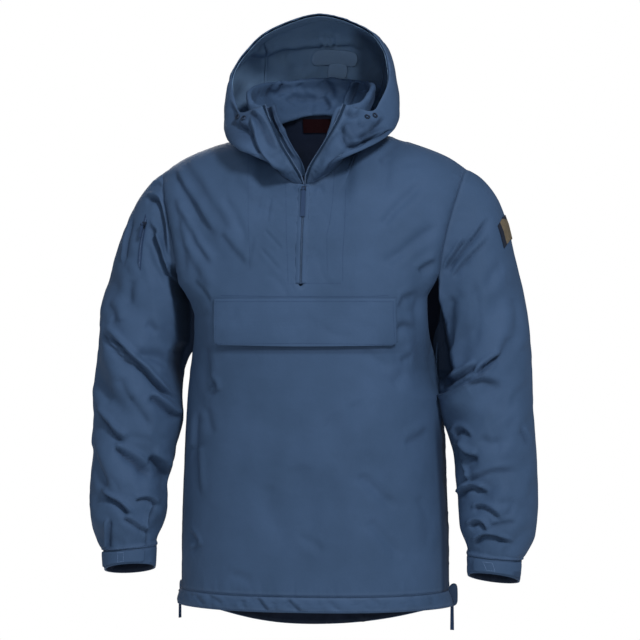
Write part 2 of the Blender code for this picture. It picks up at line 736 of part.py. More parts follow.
def box_mesh(low, high, taper=1.0):
    """A block between two corners; taper scales its lower end across."""
    bm = bmesh.new()
    bmesh.ops.create_cube(bm, size=1.0)
    middle, size = (Vector(low) + Vector(high)) / 2, Vector(high) - Vector(low)
    for vertex in bm.verts:
        share = taper if vertex.co.z < 0 else 1.0
        vertex.co = Vector((vertex.co.x * size.x * share, vertex.co.y * size.y,
                            vertex.co.z * size.z)) + middle
    return bm


def tube_mesh(outer, inner, half_length, y, segments=12):
    """A tube or pin along X round (y, 0); inner 0 gives a solid pin."""
    bm = bmesh.new()
    loops = []
    corners = ((outer, -half_length), (outer, half_length), (inner, half_length), (inner, -half_length))
    for radius, x in corners:
        if radius:
            loops.append([bm.verts.new((x, y + radius * math.cos(2 * math.pi * k / segments),
                                        radius * math.sin(2 * math.pi * k / segments)))
                          for k in range(segments)])
    if inner:
        loops.append(loops[0])
    for a, b in zip(loops, loops[1:]):
        for k in range(segments):
            m = (k + 1) % segments
            bm.faces.new((a[k], a[m], b[m], b[k]))
    if not inner:
        bm.faces.new(loops[0][::-1])
        bm.faces.new(loops[1])
    bmesh.ops.recalc_face_normals(bm, faces=bm.faces)
    return bm


def ring_mesh(radius, wire, around=10, section=5):
    """A ring round the Y axis."""
    bm = bmesh.new()
    loops = []
    for a in range(around):
        turn = 2 * math.pi * a / around
        loop = []
        for b in range(section):
            reach = radius + wire * math.cos(2 * math.pi * b / section)
            y = wire * math.sin(2 * math.pi * b / section)
            loop.append(bm.verts.new((reach * math.cos(turn), y, reach * math.sin(turn))))
        loops.append(loop)
    for a in range(around):
        for b in range(section):
            c, d = (a + 1) % around, (b + 1) % section
            bm.faces.new((loops[a][b], loops[a][d], loops[c][d], loops[c][b]))
    bmesh.ops.recalc_face_normals(bm, faces=bm.faces)
    return bm


def fused(name, meshes, place, finish):
    """One solid from overlapping shapes given in a fitting's own axes."""
    shapes = [add_object(name if k == 0 else f"{name}_{k}", bm, finish, smooth=False)
              for k, bm in enumerate(meshes)]
    body = shapes[0]
    for shape in shapes[1:]:
        joint = body.modifiers.new("join", "BOOLEAN")
        joint.operation = "UNION"
        joint.object = shape
    graph = bpy.context.evaluated_depsgraph_get()
    mesh = bpy.data.meshes.new_from_object(body.evaluated_get(graph))
    body.modifiers.clear()
    body.data = mesh
    for shape in shapes[1:]:
        bpy.data.objects.remove(shape, do_unlink=True)
    turn = place.copy()
    turn.translation = place.translation * MM
    mesh.transform(turn)
    return body


def hang_on_pin(body, place):
    """Put the piece's origin on the slider's pin."""
    pin = place @ Vector((0, -PIN_OUT, 0)) * MM
    body.data.transform(Matrix.Translation(-pin))
    body.location = pin


def slider_and_pull(name, place, tab_length, tab_half, twist=0.0):
    """A zip slider that lies on its tape, and the pull that hangs on the slider's pin.

    twist turns the pull's cloth end about its length (degrees).
    """
    shapes = [box_mesh((-3.9, -2.4, -5.5), (3.9, -LIFT, 5.5), taper=0.75)]
    for side in (-1, 1):
        inner, outer = sorted((side * 2.3, side * 3.5))
        shapes.append(box_mesh((inner, -PIN_OUT - 1.5, -1.8), (outer, -2.0, 1.8)))
    shapes.append(tube_mesh(PIN_RADIUS, 0.0, 3.0, -PIN_OUT))
    fused(name + "_slider", shapes, place, "metal")
    ring = tube_mesh(2.4, PIN_RADIUS + 0.35, PULL_THICK, -PIN_OUT)
    thick = PULL_THICK / 2
    neck = box_mesh((-1.6, -0.9 * thick, -3.8), (1.6, 0.9 * thick, -1.9))
    tab = box_mesh((-tab_half, -thick, -tab_length), (tab_half, thick, -2.9), taper=1.25)
    turn = Matrix.Rotation(math.radians(twist), 3, "Z")
    for vertex in [*neck.verts, *tab.verts]:
        vertex.co = turn @ vertex.co + Vector((0, -PIN_OUT, 0))
    hang_on_pin(fused(name + "_pull", [ring, neck, tab], place, "zip"), place)


HEM_TAB_HEIGHTS = (-762.0, -748.0, -731.0)
HEM_TAB_DEPTHS = (9.0, 18.0, 27.0)     # y
HEM_TAB_WALL = 2.0
SIDE_SLIDERS = [
    # side  height  pull's twist
    ("left", 1, -757.0, 60.0),
    ("right", -1, -744.0, -20.0),
]


def build_side_zips():
    """A zip in each side seam, closed, with its slider at the hem, and a tab at the hem's corner."""
    for word, side, height, twist in SIDE_SLIDERS:
        rows = []
        for z in steps(FRONT_HEM + 2.0, SIDE_ZIP_TOP - 3.0, 10):
            x = side * (spline(TORSO, z)[0] - TAPE_DEEP)
            ends = (-SIDE_ZIP_HALF, SIDE_ZIP_HALF) if side > 0 else (SIDE_ZIP_HALF, -SIDE_ZIP_HALF)
            rows.append([Vector((x, y, z)) for y in ends])
        cloth("side_zip_" + word, rows, TAPE, "zip")
        point = Vector((side * (spline(TORSO, height)[0] - TAPE_DEEP), 0, height))
        place = frame_at(point, Vector((side, 0, 0)), Vector((0, 0, 1)))
        slider_and_pull("side_" + word, place, 45.0, 2.6, twist)

        rows = []
        for z in HEM_TAB_HEIGHTS:
            flare = HEM_FLARE * min(1.0, max(0.0, BAND_TOP - z) / (BAND_TOP - FRONT_HEM))
            x = spline(TORSO, z)[0] + flare + HEM_TAB_WALL + 0.9
            row = [Vector((side * (x - 0.1 * (y - HEM_TAB_DEPTHS[0])), y, z)) for y in HEM_TAB_DEPTHS]
            rows.append(row if side > 0 else row[::-1])
        cloth("hem_tab_" + word, rows, HEM_TAB_WALL, "shell")


# ---- what lies on the sleeves ----
TRIM_WALL = 1.8                        # badge and cuff tabs
SLEEVE_ZIP_ENDS = ((0.185, 4.3), (0.11, 3.1))    # along the sleeve, columns round it
BADGE_TURNS = (2.0, 1.0, 0.0, -0.4)    # columns round the sleeve
CUFF_TAB_ROWS = (0.25, 1.0, 1.75)      # rows of the cuff's sheet
CUFF_TAB_END = 8                       # columns the cuff tab reaches


def round_sleeve(sheet, side, row, turn):
    """Point and normal of a sleeve's or cuff's sheet at a row and a turn counted in columns."""
    cols = len(sheet[0])
    return on_sheet(sheet, row, (cols - turn if side > 0 else turn) % cols, closed=True)


def build_sleeve_pieces(sleeves, cuffs):
    """Plain badge on the wearer's left arm, pocket zip on the right arm, a tab on each cuff."""
    last = len(sleeves[1]) - 1
    badge = [[round_sleeve(sleeves[1], 1, (1 - s) * last, turn) for turn in BADGE_TURNS]
             for s in BADGE_ROWS]
    overlay("sleeve_badge", badge, [2 * LIFT] * len(badge), TRIM_WALL, "badge")

    rows = []
    (s0, turn0), (s1, turn1) = SLEEVE_ZIP_ENDS
    for share in steps(0.0, 1.0, 6):
        s, turn = s0 + (s1 - s0) * share, turn0 + (turn1 - turn0) * share
        rows.append([round_sleeve(sleeves[-1], -1, (1 - s) * last, turn + t) for t in (-0.2, 0.0, 0.2)])
    overlay("sleeve_zip", rows, [1.5 * LIFT] * len(rows), TAPE, "zip")
    spot, out = rows[-2][1]
    up = rows[-1][1][0] - rows[-3][1][0]
    slider_and_pull("sleeve", frame_at(spot + out * (1.5 * LIFT + TAPE), out, up), 22.0, 2.0)

    for word, side in (("left", 1), ("right", -1)):
        turns = range(CUFF_TAB_END, 0, -1) if side > 0 else range(1, CUFF_TAB_END + 1)
        rows = [[round_sleeve(cuffs[side], side, row, turn) for turn in turns] for row in CUFF_TAB_ROWS]
        overlay("cuff_tab_" + word, rows, [2 * LIFT] * len(rows), TRIM_WALL, "shell")


# ---- what lies in and on the hood ----
EYELET_RADIUS = 3.6
EYELET_WIRE = 1.2
# turn round the neck, share of the way up to the rim, and whether on the wearer's right
EYELETS = [
    (0.15, 0.88, False),
    (0.22, 0.86, False),
    (0.15, 0.88, True),
    (0.22, 0.86, True),
]


STRAP_WALL = 1.5
# the volume strap inside the back of the hood: name, turns round the neck, share up to the rim
STRAPS = [
    ("hood_strap", (0.935, 0.96, 1.0, 1.033), (0.49, 0.55)),
    ("hood_strap_end", (0.955, 0.975, 0.995), (0.40, 0.48)),
]


def build_hood_pieces(rise):
    """The facing inside the rim, the volume strap, and the cord's eyelets."""
    inside = -SHELL - 2 * LIFT
    facing_places = both_sides(neck_places(0.18, 1.0))
    facing = moved(neck_sheet(HOOD, 0.0, facing_places, [rise[-3], rise[-2], 0.985]), inside)
    cloth("hood_facing", facing, 1.2, "lining")

    places = both_sides(neck_places(1.0 - HOOD_SEAM + SEAM_TURN, 1.0))
    centre = neck_sheet(HOOD, 0.0, places, rise)
    for name, turns, levels in STRAPS:
        spots = [[on_sheet(centre, place_in(rise, t), place_in(places, q)) for q in turns]
                 for t in levels]
        overlay(name, spots, [-SHELL - LIFT - STRAP_WALL] * 2, STRAP_WALL, "shell")

    side = neck_places(0.0, 1.0 - HOOD_SEAM - SEAM_TURN)
    for k, (q, t, mirrored) in enumerate(EYELETS, start=1):
        places = [2.0 - place for place in reversed(side)] if mirrored else side
        sheet = neck_sheet(HOOD, 0.0, places, rise)
        spot, out = on_sheet(sheet, place_in(rise, t), place_in(places, 2.0 - q if mirrored else q))
        place = frame_at(spot + out * (EYELET_WIRE + 2 * LIFT), out, Vector((0, 0, 1)))
        fused(f"hood_eyelet_{k}", [ring_mesh(EYELET_RADIUS, EYELET_WIRE)], place, "metal")


for old in list(bpy.data.objects):
    bpy.data.objects.remove(old, do_unlink=True)
build_torso()
build_front_pieces(panel(back=False))
build_label(panel(back=True))
build_side_zips()
build_sleeves()
build_sleeve_pieces({side: sleeve_sheet(side) for side in (1, -1)},
                    {side: cuff_sheet(side) for side in (1, -1)})
build_neck()
build_hood_pieces(steps(0.0, 1.0, 11))
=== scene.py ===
"""A men's pullover anorak in padded navy cloth, empty but filled out as if worn."""
import math
import random

import bmesh
import bpy
import numpy as np
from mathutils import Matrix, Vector, noise
from mathutils.bvhtree import BVHTree
from mathutils.kdtree import KDTree


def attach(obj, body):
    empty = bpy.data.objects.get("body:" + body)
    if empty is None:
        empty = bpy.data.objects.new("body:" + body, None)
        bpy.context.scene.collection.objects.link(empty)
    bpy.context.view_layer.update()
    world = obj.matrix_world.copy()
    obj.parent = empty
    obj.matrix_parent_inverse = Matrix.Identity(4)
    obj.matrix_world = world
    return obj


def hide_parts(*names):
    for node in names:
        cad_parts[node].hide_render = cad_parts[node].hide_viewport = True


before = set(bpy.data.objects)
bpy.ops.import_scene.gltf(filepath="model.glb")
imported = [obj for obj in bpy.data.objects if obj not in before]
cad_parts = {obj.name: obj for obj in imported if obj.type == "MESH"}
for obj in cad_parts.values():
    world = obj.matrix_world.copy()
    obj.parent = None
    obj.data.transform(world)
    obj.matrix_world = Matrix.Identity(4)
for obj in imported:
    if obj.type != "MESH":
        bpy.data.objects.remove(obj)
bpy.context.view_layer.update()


# ---- Studio and camera ----
# A long lens level with the chest, a little to the wearer's left. The floor is a pale sheet well
# below the hem. A soft box stands high on the wearer's left, with weaker ones in front, over the
# other shoulder and behind.
def linear(code):
    """An sRGB hex colour as linear RGBA."""
    parts = [int(code[k:k + 2], 16) / 255 for k in (1, 3, 5)]
    return tuple(c / 12.92 if c < 0.04045 else ((c + 0.055) / 1.055) ** 2.4 for c in parts) + (1.0,)


def add_node(tree, kind, settings=None, inputs=None):
    """A node with its settings made, and its inputs linked to sockets or set to values."""
    node = tree.nodes.new(kind)
    for key, value in (settings or {}).items():
        setattr(node, key, value)
    for key, value in (inputs or {}).items():
        if isinstance(value, bpy.types.NodeSocket):
            tree.links.new(value, node.inputs[key])
        else:
            node.inputs[key].default_value = value
    return node


def add_object(name, data):
    """A new object at the origin, in the scene."""
    thing = bpy.data.objects.new(name, data)
    bpy.context.scene.collection.objects.link(thing)
    return thing


scene = bpy.context.scene
scene.view_settings.view_transform = "Standard"
VIEW_TURN = math.radians(8)
STAND_OFF = 4.2
SENSOR = 36
FRAME_PIXELS = 640
PIXEL = 0.001645  # metres at the chest
aim = Vector((0, 0, -0.296))
lens = bpy.data.cameras.new("camera")
lens.lens = SENSOR * STAND_OFF / (FRAME_PIXELS * PIXEL)
lens.shift_x = 5 / FRAME_PIXELS
camera = add_object("camera", lens)
camera.location = aim + Vector((math.sin(VIEW_TURN), -math.cos(VIEW_TURN), 0)) * STAND_OFF
camera.rotation_euler = (math.radians(90), 0, VIEW_TURN)
scene.camera = camera


def soft_box(name, place, size, watts):
    """An area light that faces the chest."""
    lamp = bpy.data.lights.new(name, "AREA")
    lamp.shape = "DISK"
    lamp.size = size
    lamp.energy = watts
    box = add_object(name, lamp)
    box.location = place
    box.rotation_euler = (aim - Vector(place)).to_track_quat("-Z", "Y").to_euler()


soft_box("key_light", (1.6, -2.7, 1.9), 0.75, 84)
soft_box("fill_light", (0.2, -3.9, 0.1), 1.6, 23)
soft_box("shoulder_light", (-1.5, -1.6, 2.4), 1.4, 16)
soft_box("back_light", (-1.2, 3.4, 1.2), 1.8, 60)

world = bpy.data.worlds.new("studio")
scene.world = world
world.use_nodes = True
world.node_tree.nodes.clear()
ray = add_node(world.node_tree, "ShaderNodeLightPath")
seen = add_node(world.node_tree, "ShaderNodeBackground", None,
                {"Color": (1, 1, 1, 1), "Strength": 1.0})
lit = add_node(world.node_tree, "ShaderNodeBackground", None,
               {"Color": linear("#F4F7FC"), "Strength": 0.21})
mixed = add_node(world.node_tree, "ShaderNodeMixShader", None,
                 {"Fac": ray.outputs["Is Camera Ray"], 1: lit.outputs[0], 2: seen.outputs[0]})
add_node(world.node_tree, "ShaderNodeOutputWorld", None, {"Surface": mixed.outputs[0]})

FLOOR_HALF = 3
FLOOR_HEIGHT = -1.35
corners = [(x * FLOOR_HALF, y * FLOOR_HALF, FLOOR_HEIGHT) for x, y in ((-1, -1), (1, -1), (1, 1), (-1, 1))]
floor_mesh = bpy.data.meshes.new("floor")
floor_mesh.from_pydata(corners, [], [(0, 1, 2, 3)])
floor = add_object("floor", floor_mesh)
floor_paint = bpy.data.materials.new("pale matt paint")
floor_paint.use_nodes = True
floor_finish = floor_paint.node_tree.nodes["Principled BSDF"]
floor_finish.inputs["Base Color"].default_value = linear("#E9E9E7")
floor_finish.inputs["Roughness"].default_value = 0.85
floor_mesh.materials.append(floor_paint)


# ---- Body: front and back panel ----
# Two panels of matt woven cotton-nylon over thin wadding and a lining, sewn together at the
# shoulders and sides. The front is slit from the neck for the half zip.
MM = 1000  # millimetres in a metre
THREAD_SPACING = 0.0015  # a real thread is about 0.4 mm; this is the finest that shows as a weave
BAND_SPAN = 0.314  # metres between the bands of a wave texture at scale 1


def woven_cloth(name, base, dark, crinkle=1.0, shaded="painted_shade"):
    """Matt plain-woven face cloth: threads in the weave, faint slubs, soft crinkles of the wadding, and
    painted shade read from a mark.
    """
    cloth = bpy.data.materials.new(name)
    cloth.use_nodes = True
    tree = cloth.node_tree
    finish = tree.nodes["Principled BSDF"]
    place = add_node(tree, "ShaderNodeTexCoord")
    grid = add_node(tree, "ShaderNodeUVMap", {"uv_map": "cut"})
    warp, weft = [add_node(tree, "ShaderNodeTexWave", {"bands_direction": way},
                           {"Vector": grid.outputs[0], "Scale": BAND_SPAN / THREAD_SPACING,
                            "Distortion": 0.6}) for way in "XY"]
    threads = add_node(tree, "ShaderNodeMath", {"operation": "ADD"},
                       {0: warp.outputs["Fac"], 1: weft.outputs["Fac"]})
    slub = add_node(tree, "ShaderNodeTexNoise", None,
                    {"Vector": place.outputs["Object"], "Scale": 420.0, "Detail": 3.0})
    patch = add_node(tree, "ShaderNodeTexNoise", None,
                     {"Vector": place.outputs["Object"], "Scale": 14.0, "Detail": 3.0})
    blend = add_node(tree, "ShaderNodeMath", {"operation": "MULTIPLY_ADD"},
                     {0: slub.outputs["Fac"], 1: 0.3, 2: patch.outputs["Fac"]})
    tone = add_node(tree, "ShaderNodeMapRange", None,
                    {"Value": blend.outputs[0], "From Min": 0.4, "From Max": 0.95})
    colour = add_node(tree, "ShaderNodeMix", {"data_type": "RGBA"},
                      {"Factor": tone.outputs[0], 6: linear(dark), 7: linear(base)})
    # seam edges rub pale first
    edge = add_node(tree, "ShaderNodeAttribute", {"attribute_name": "seam"})
    rubbed = add_node(tree, "ShaderNodeMath", {"operation": "MULTIPLY"},
                      {0: edge.outputs["Fac"], 1: 0.07})
    worn = add_node(tree, "ShaderNodeMix", {"data_type": "RGBA"},
                    {"Factor": rubbed.outputs[0], 6: colour.outputs[2], 7: linear("#6F86A6")})
    # painted shade in deep folds, hollows and shaded patches, read from the given mark
    deep = add_node(tree, "ShaderNodeAttribute", {"attribute_name": shaded})
    held = add_node(tree, "ShaderNodeMath", {"operation": "MULTIPLY"}, {0: deep.outputs["Fac"], 1: 0.6})
    painted_shade_colour = add_node(tree, "ShaderNodeMix", {"data_type": "RGBA"},
                     {"Factor": held.outputs[0], 6: worn.outputs[2], 7: linear("#1B2A42")})
    tree.links.new(painted_shade_colour.outputs[2], finish.inputs["Base Color"])
    ripple = add_node(tree, "ShaderNodeTexNoise", None,
                      {"Vector": place.outputs["Object"], "Scale": 38.0, "Detail": 2.5,
                       "Distortion": 0.7})
    soft = add_node(tree, "ShaderNodeBump", None,
                    {"Strength": 0.22 * crinkle, "Distance": 0.003, "Height": ripple.outputs["Fac"]})
    weave = add_node(tree, "ShaderNodeBump", None,
                     {"Strength": 0.3, "Distance": 0.0002, "Height": threads.outputs[0],
                      "Normal": soft.outputs[0]})
    tree.links.new(weave.outputs[0], finish.inputs["Normal"])
    for socket, value in (("Roughness", 0.72), ("Specular IOR Level", 0.16), ("Sheen Weight", 0.04),
                          ("Sheen Roughness", 0.5), ("Sheen Tint", linear("#8FA8CC"))):
        finish.inputs[socket].default_value = value
    return cloth


SHELL_CLOTH = woven_cloth("woven cotton-nylon shell", "#3F5778", "#374E6C")
# The body lining is drawn far darker than the shell, as painted shade inside the body; it also reads the
# inside mark of painted shade.
DARK_SHADED_LINING = woven_cloth("smooth woven lining", "#18233A", "#101A2B", 0.6, "inside")


def plain_finish(name, base, dark, roughness, metallic, size, bump):
    """A finish with a fine uneven grain of one real size in metres."""
    finish = bpy.data.materials.new(name)
    finish.use_nodes = True
    tree = finish.node_tree
    shader = tree.nodes["Principled BSDF"]
    place = add_node(tree, "ShaderNodeTexCoord")
    grain = add_node(tree, "ShaderNodeTexNoise", None,
                     {"Vector": place.outputs["Object"], "Scale": 1 / size, "Detail": 4.0})
    colour = add_node(tree, "ShaderNodeMix", {"data_type": "RGBA"},
                      {"Factor": grain.outputs["Fac"], 6: linear(dark), 7: linear(base)})
    relief = add_node(tree, "ShaderNodeBump", None,
                      {"Strength": 0.4, "Distance": bump, "Height": grain.outputs["Fac"]})
    tree.links.new(colour.outputs[2], shader.inputs["Base Color"])
    tree.links.new(relief.outputs[0], shader.inputs["Normal"])
    shader.inputs["Specular IOR Level"].default_value = 0.12
    shader.inputs["Roughness"].default_value = roughness
    shader.inputs["Metallic"].default_value = metallic
    return finish


def paired_faces(node):
    """A copy of a CAD solid with its loose triangles merged and paired back into quads."""
    cloth = bmesh.new()
    cloth.from_mesh(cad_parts[node].data)
    bmesh.ops.remove_doubles(cloth, verts=cloth.verts, dist=0.00002)
    bmesh.ops.join_triangles(cloth, faces=cloth.faces, angle_face_threshold=math.radians(60),
                             angle_shape_threshold=math.radians(75), topology_influence=1.6)
    return cloth


def outer_face(cloth):
    """Keep the largest smooth patch of a thin solid, which is its outer face."""
    left = set(cloth.faces)
    patches = []
    while left:
        patch = [left.pop()]
        for face in patch:
            for edge in face.edges:
                for other in edge.link_faces:
                    if other in left and face.normal.angle(other.normal, 3.0) < math.radians(50):
                        left.discard(other)
                        patch.append(other)
        patches.append(patch)
    patches.sort(key=lambda patch: sum(face.calc_area() for face in patch))
    rest = [face for patch in patches[:-1] for face in patch]
    bmesh.ops.delete(cloth, geom=rest, context="FACES")


def lay_grid(cloth):
    """A UV map in metres along the cloth's own rows, for the weave."""
    grid = cloth.loops.layers.uv.new("cut")
    cloth.faces.ensure_lookup_table()
    spots = {}
    for seed in cloth.faces:
        if seed in spots:
            continue
        corners = [(0, 0), (1, 0), (1, 1), (0, 1)]
        spots[seed] = {vert: Vector(corner) for vert, corner in zip(seed.verts, corners)}
        queue = [seed]
        for face in queue:
            known = spots[face]
            middle = sum(known.values(), Vector((0, 0))) / len(known)
            for edge in face.edges:
                first, second = edge.verts
                run = known[second] - known[first]
                out = Vector((run.y, -run.x))
                if out.dot((known[first] + known[second]) / 2 - middle) < 0:
                    out.negate()
                for other in edge.link_faces:
                    if other in spots:
                        continue
                    found = {first: known[first], second: known[second]}
                    for side in other.edges:
                        for near, far in (side.verts, reversed(side.verts)):
                            if near in (first, second) and far not in (first, second):
                                found[far] = known[near] + out
                    if len(found) == len(other.verts):
                        spots[other] = found
                        queue.append(other)
    sums = [[0.0, 0.0], [0.0, 0.0]]
    for face, known in spots.items():
        for edge in face.edges:
            first, second = edge.verts
            run = known[second] - known[first]
            axis = 0 if abs(run.x) > abs(run.y) else 1
            sums[axis][0] += edge.calc_length()
            sums[axis][1] += 1
    size = [total / max(count, 1) for total, count in sums]
    for face, known in spots.items():
        for loop in face.loops:
            spot = known[loop.vert]
            loop[grid].uv = (spot.x * size[0], spot.y * size[1])


def subdivided(mesh, levels):
    """The mesh after Catmull-Clark subdivision."""
    holder = add_object("cut", mesh)
    rows = holder.modifiers.new("rows", "SUBSURF")
    rows.levels = levels
    rows.render_levels = levels
    rows.boundary_smooth = "PRESERVE_CORNERS"
    graph = bpy.context.evaluated_depsgraph_get()
    finer = bpy.data.meshes.new_from_object(holder.evaluated_get(graph))
    bpy.data.objects.remove(holder)
    return finer


def read_points(mesh):
    """The mesh's points as an array."""
    flat = np.empty(len(mesh.vertices) * 3, dtype=np.float32)
    mesh.vertices.foreach_get("co", flat)
    return flat.reshape(-1, 3).astype(float)


def write_points(mesh, points):
    """Move the mesh's points."""
    mesh.vertices.foreach_set("co", points.astype(np.float32).ravel())
    mesh.update()


def refined(cloth, levels):
    """A smooth fine mesh that still passes through the coarse cloth's own points."""
    coarse = bpy.data.meshes.new("coarse")
    cloth.to_mesh(coarse)
    cloth.free()
    goal = read_points(coarse)
    for _ in range(2):
        reached = read_points(subdivided(coarse, levels))[:len(goal)]
        write_points(coarse, read_points(coarse) + goal - reached)
    finer = subdivided(coarse, levels)
    finer.shade_smooth()
    return finer


def ramp(values, low, high):
    """0 below low, 1 above high, and a smooth rise between."""
    share = np.clip((values - low) / (high - low), 0, 1)
    return share * share * (3 - 2 * share)


WANDER = 2.4  # how far folds stray from their drawn lines (mm)
WANDER_SPAN = 28  # the distance over which they stray (mm)
WANDER_SEED = 1795524043
noise.seed_set(WANDER_SEED)  # so that they stray the same way each run


def fold_lift(across, up, folds):
    """How far folds move places out (mm), and how much painted shade each place takes in a sharp fold (0
    to 1).

    A fold is a row: x and z of three or four places along it, then its half width and its depth.
    """
    lift = np.zeros(len(across))
    shade = np.zeros(len(across))
    if not folds:
        return lift, shade
    stray = [noise.noise_vector(Vector((x, z, 5.0)) / WANDER_SPAN) for x, z in zip(across, up)]
    across = across + WANDER * np.array([way.x for way in stray])
    up = up + WANDER * np.array([way.z for way in stray])
    for *path, half, depth in folds:
        path = np.array(path, float).reshape(-1, 2)
        stops = np.arange(len(path))
        # the curve through the places runs on a little past both ends
        spans = np.linspace(-0.14, 1.14, 15) * (len(path) - 1)
        line = np.stack([np.polyval(np.polyfit(stops, path[:, k], len(path) - 1), spans)
                         for k in (0, 1)], 1)
        low, high = line.min(0) - 4 * half, line.max(0) + 4 * half
        near = np.flatnonzero((across > low[0]) & (across < high[0]) & (up > low[1]) & (up < high[1]))
        if not len(near):
            continue
        spot = np.stack([across[near], up[near]], 1)
        gap = np.full(len(near), 1e9)
        above = np.zeros(len(near))
        along = np.zeros(len(near))
        for k in range(len(line) - 1):
            step = line[k + 1] - line[k]
            share = np.clip((spot - line[k]) @ step / max(step @ step, 1e-9), 0, 1)
            aside = spot - line[k] - share[:, None] * step
            reach = np.linalg.norm(aside, axis=1)
            closer = reach < gap
            gap[closer] = reach[closer]
            upward = np.array((-step[1], step[0])) * (1 if step[0] > 0 else -1)
            above[closer] = (aside @ upward)[closer]
            along[closer] = (k + share[closer]) / (len(line) - 1)
        fade = ramp(along, 0, 0.14) * ramp(1 - along, 0, 0.26)
        if half > 7 or abs(depth) < 2:
            # wide and shallow folds are even waves
            trough = np.exp(-(gap / half) ** 2)
            ridge = 0.35 * np.exp(-((gap - 2.2 * half) / (1.2 * half)) ** 2)
        else:
            # the cloth above a sharp fold hangs over it in a full roll; below, it slopes out gently
            steep = np.exp(-(gap / (0.85 * half)) ** 2)
            gentle = np.exp(-np.abs(gap / (1.7 * half)) ** 1.3)
            trough = np.where(above > 0, steep, gentle)
            ridge = np.where(above > 0, 0.7, 0.0) * np.exp(-((gap - 1.9 * half) / (1.2 * half)) ** 2)
            # painted shade along the trough of a sharp fold
            dark = min(1, abs(depth) / 9) * fade * np.exp(-(gap / (0.5 * half + 1)) ** 2)
            shade[near] = np.maximum(shade[near], dark)
        lift[near] -= depth * fade * (trough - ridge)
    return lift, shade


def crumples(low, high, count, slant, spread, reach, half, depth, seed):
    """Small folds strewn over a rectangle (mm) round one slant (degrees), from a fixed seed."""
    dice = random.Random(seed)
    folds = []
    for _ in range(count):
        x = dice.uniform(low[0], high[0])
        z = dice.uniform(low[1], high[1])
        turn = math.radians(slant + dice.uniform(-spread, spread))
        size = dice.uniform(*reach) / 2
        bow = dice.uniform(-0.3, 0.3) * size
        dx, dz = math.cos(turn) * size, math.sin(turn) * size
        folds.append((x - dx, z - dz, x - bow * math.sin(turn), z + bow * math.cos(turn), x + dx, z + dz,
                      dice.uniform(*half), dice.uniform(*depth)))
    return folds


def rim_points(mesh):
    """The points on the mesh's open edge, each with the direction that leads off the cloth."""
    edges = bmesh.new()
    edges.from_mesh(mesh)
    rim = {}
    for vert in edges.verts:
        if vert.is_boundary:
            off = sum((vert.co - face.calc_center_median() for face in vert.link_faces), Vector())
            off -= vert.normal * off.dot(vert.normal)
            rim[vert.index] = off.normalized()
    edges.free()
    return rim


def nearest(places, points):
    """The nearest of some numbered places to each point: its place, number and distance."""
    finder = KDTree(len(places))
    for number, place in places:
        finder.insert(place, number)
    finder.balance()
    return [finder.find(p) for p in points]


def press_folds(points, outward, groups):
    """How far the groups' folds move each place out (mm), and how much painted fold shade it takes."""
    lift = np.zeros(len(points))
    painted_shade = np.zeros(len(points))
    for weight, folds in groups:
        share = weight(points, outward)
        moved, shade = fold_lift(points[:, 0], points[:, 2], folds)
        lift += share * moved
        painted_shade = np.maximum(painted_shade, share * shade)
    return lift, painted_shade


def lay_shades(shade, points, outward, patches):
    """Paint soft-edged patches of shade: a weight, middle x and z, half width and height (mm), amount."""
    for weight, x, z, wide, high, amount in patches:
        patch = (1 - ramp(np.abs(points[:, 0] - x) / wide, 0.5, 1)) * amount * weight(points, outward)
        patch *= 1 - ramp(np.abs(points[:, 2] - z) / high, 0.5, 1)
        np.maximum(shade, patch, out=shade)


def sew_edges(points, lift, rim, pucker, seam_depth, tuck, neck_tuck):
    """Draw the cloth down along its sewn edges, pucker it beside them and turn them under.

    Returns how far each place is from an edge (mm), and how much it is rubbed there.
    """
    found = nearest([(k, points[k]) for k in rim], points)
    gap = np.array([hit[2] for hit in found])
    lift *= ramp(gap, 0, 6)
    # the seam lies level over the tip of the shoulder
    tip = ramp(points[:, 2], -75, -35) * ramp(np.abs(points[:, 0]), 140, 165)
    lift += 1.6 * tip * np.exp(-(gap / 8) ** 2)
    bunch = np.array([noise.noise(hit[0] / 11.0) + 0.5 * noise.noise(hit[0] / 5.0) for hit in found])
    lift += pucker * 2.2 * bunch * np.exp(-(gap / 15) ** 2) * ramp(gap, 0, 5)
    lift -= seam_depth * (np.exp(-(gap / 2.8) ** 2) - 0.5 * np.exp(-((gap - 9) / 6) ** 2))
    for k, off in rim.items():
        lift[k] -= 0.5 * seam_depth
        at_neck = abs(points[k][0]) < 112 and points[k][2] > -82
        points[k] += (tuck + at_neck * neck_tuck) * np.array(off)
    return gap, np.exp(-((gap - 3) / 2.5) ** 2)


def fold_under_arm(points, painted_shade, hollow):
    """Fold a sleeve back sharply from a front edge under the arm, clear of the body, with painted shade in
    the hollow.
    """
    middle = np.polyval(np.polyfit(points[:, 2], points[:, 1], 2), points[:, 2])
    depths, *columns = zip(*hollow)
    drop, edge, clear = [np.interp(-points[:, 2], depths, column) for column in columns]
    inner = 1 - ramp(np.abs(points[:, 0]), edge - 7, edge + 4)
    points[:, 1] -= drop * inner * (points[:, 1] - middle - 42)
    points[:, 0] *= 1 + clear * (1 - ramp(np.abs(points[:, 0]), 205, 250)) / np.abs(points[:, 0])
    # painted shade deep in the hollow under the arm
    return np.maximum(painted_shade, 1.7 * drop * inner)


def draw_in_waist(points, waist):
    """Draw each side of the body in under its arm, most in front."""
    for side, rows in zip((-1, 1), waist):
        depths, widths = zip(*rows)
        inward = np.interp(-points[:, 2], depths, widths)
        kept = 1 - 0.75 * ramp(points[:, 1], -35, 15)
        points[:, 0] -= side * inward * kept * ramp(side * points[:, 0], 135, 200)


def gather_at_cuff(points, rim, gap, gather):
    """Draw a sleeve in evenly over the last 45 mm above its cuff."""
    cuff = np.array([points[k] for k in rim if points[k][2] < -600])
    rise = ramp(gap, 0, 9) * (1 - ramp(gap, 9, 45)) * ramp(-points[:, 2], 560, 600)
    points[:, :2] -= gather * rise[:, None] * (points[:, :2] - cuff.mean(0)[:2])


SEAM_TUCK = 1.4  # how far a seam allowance turns in under its neighbour


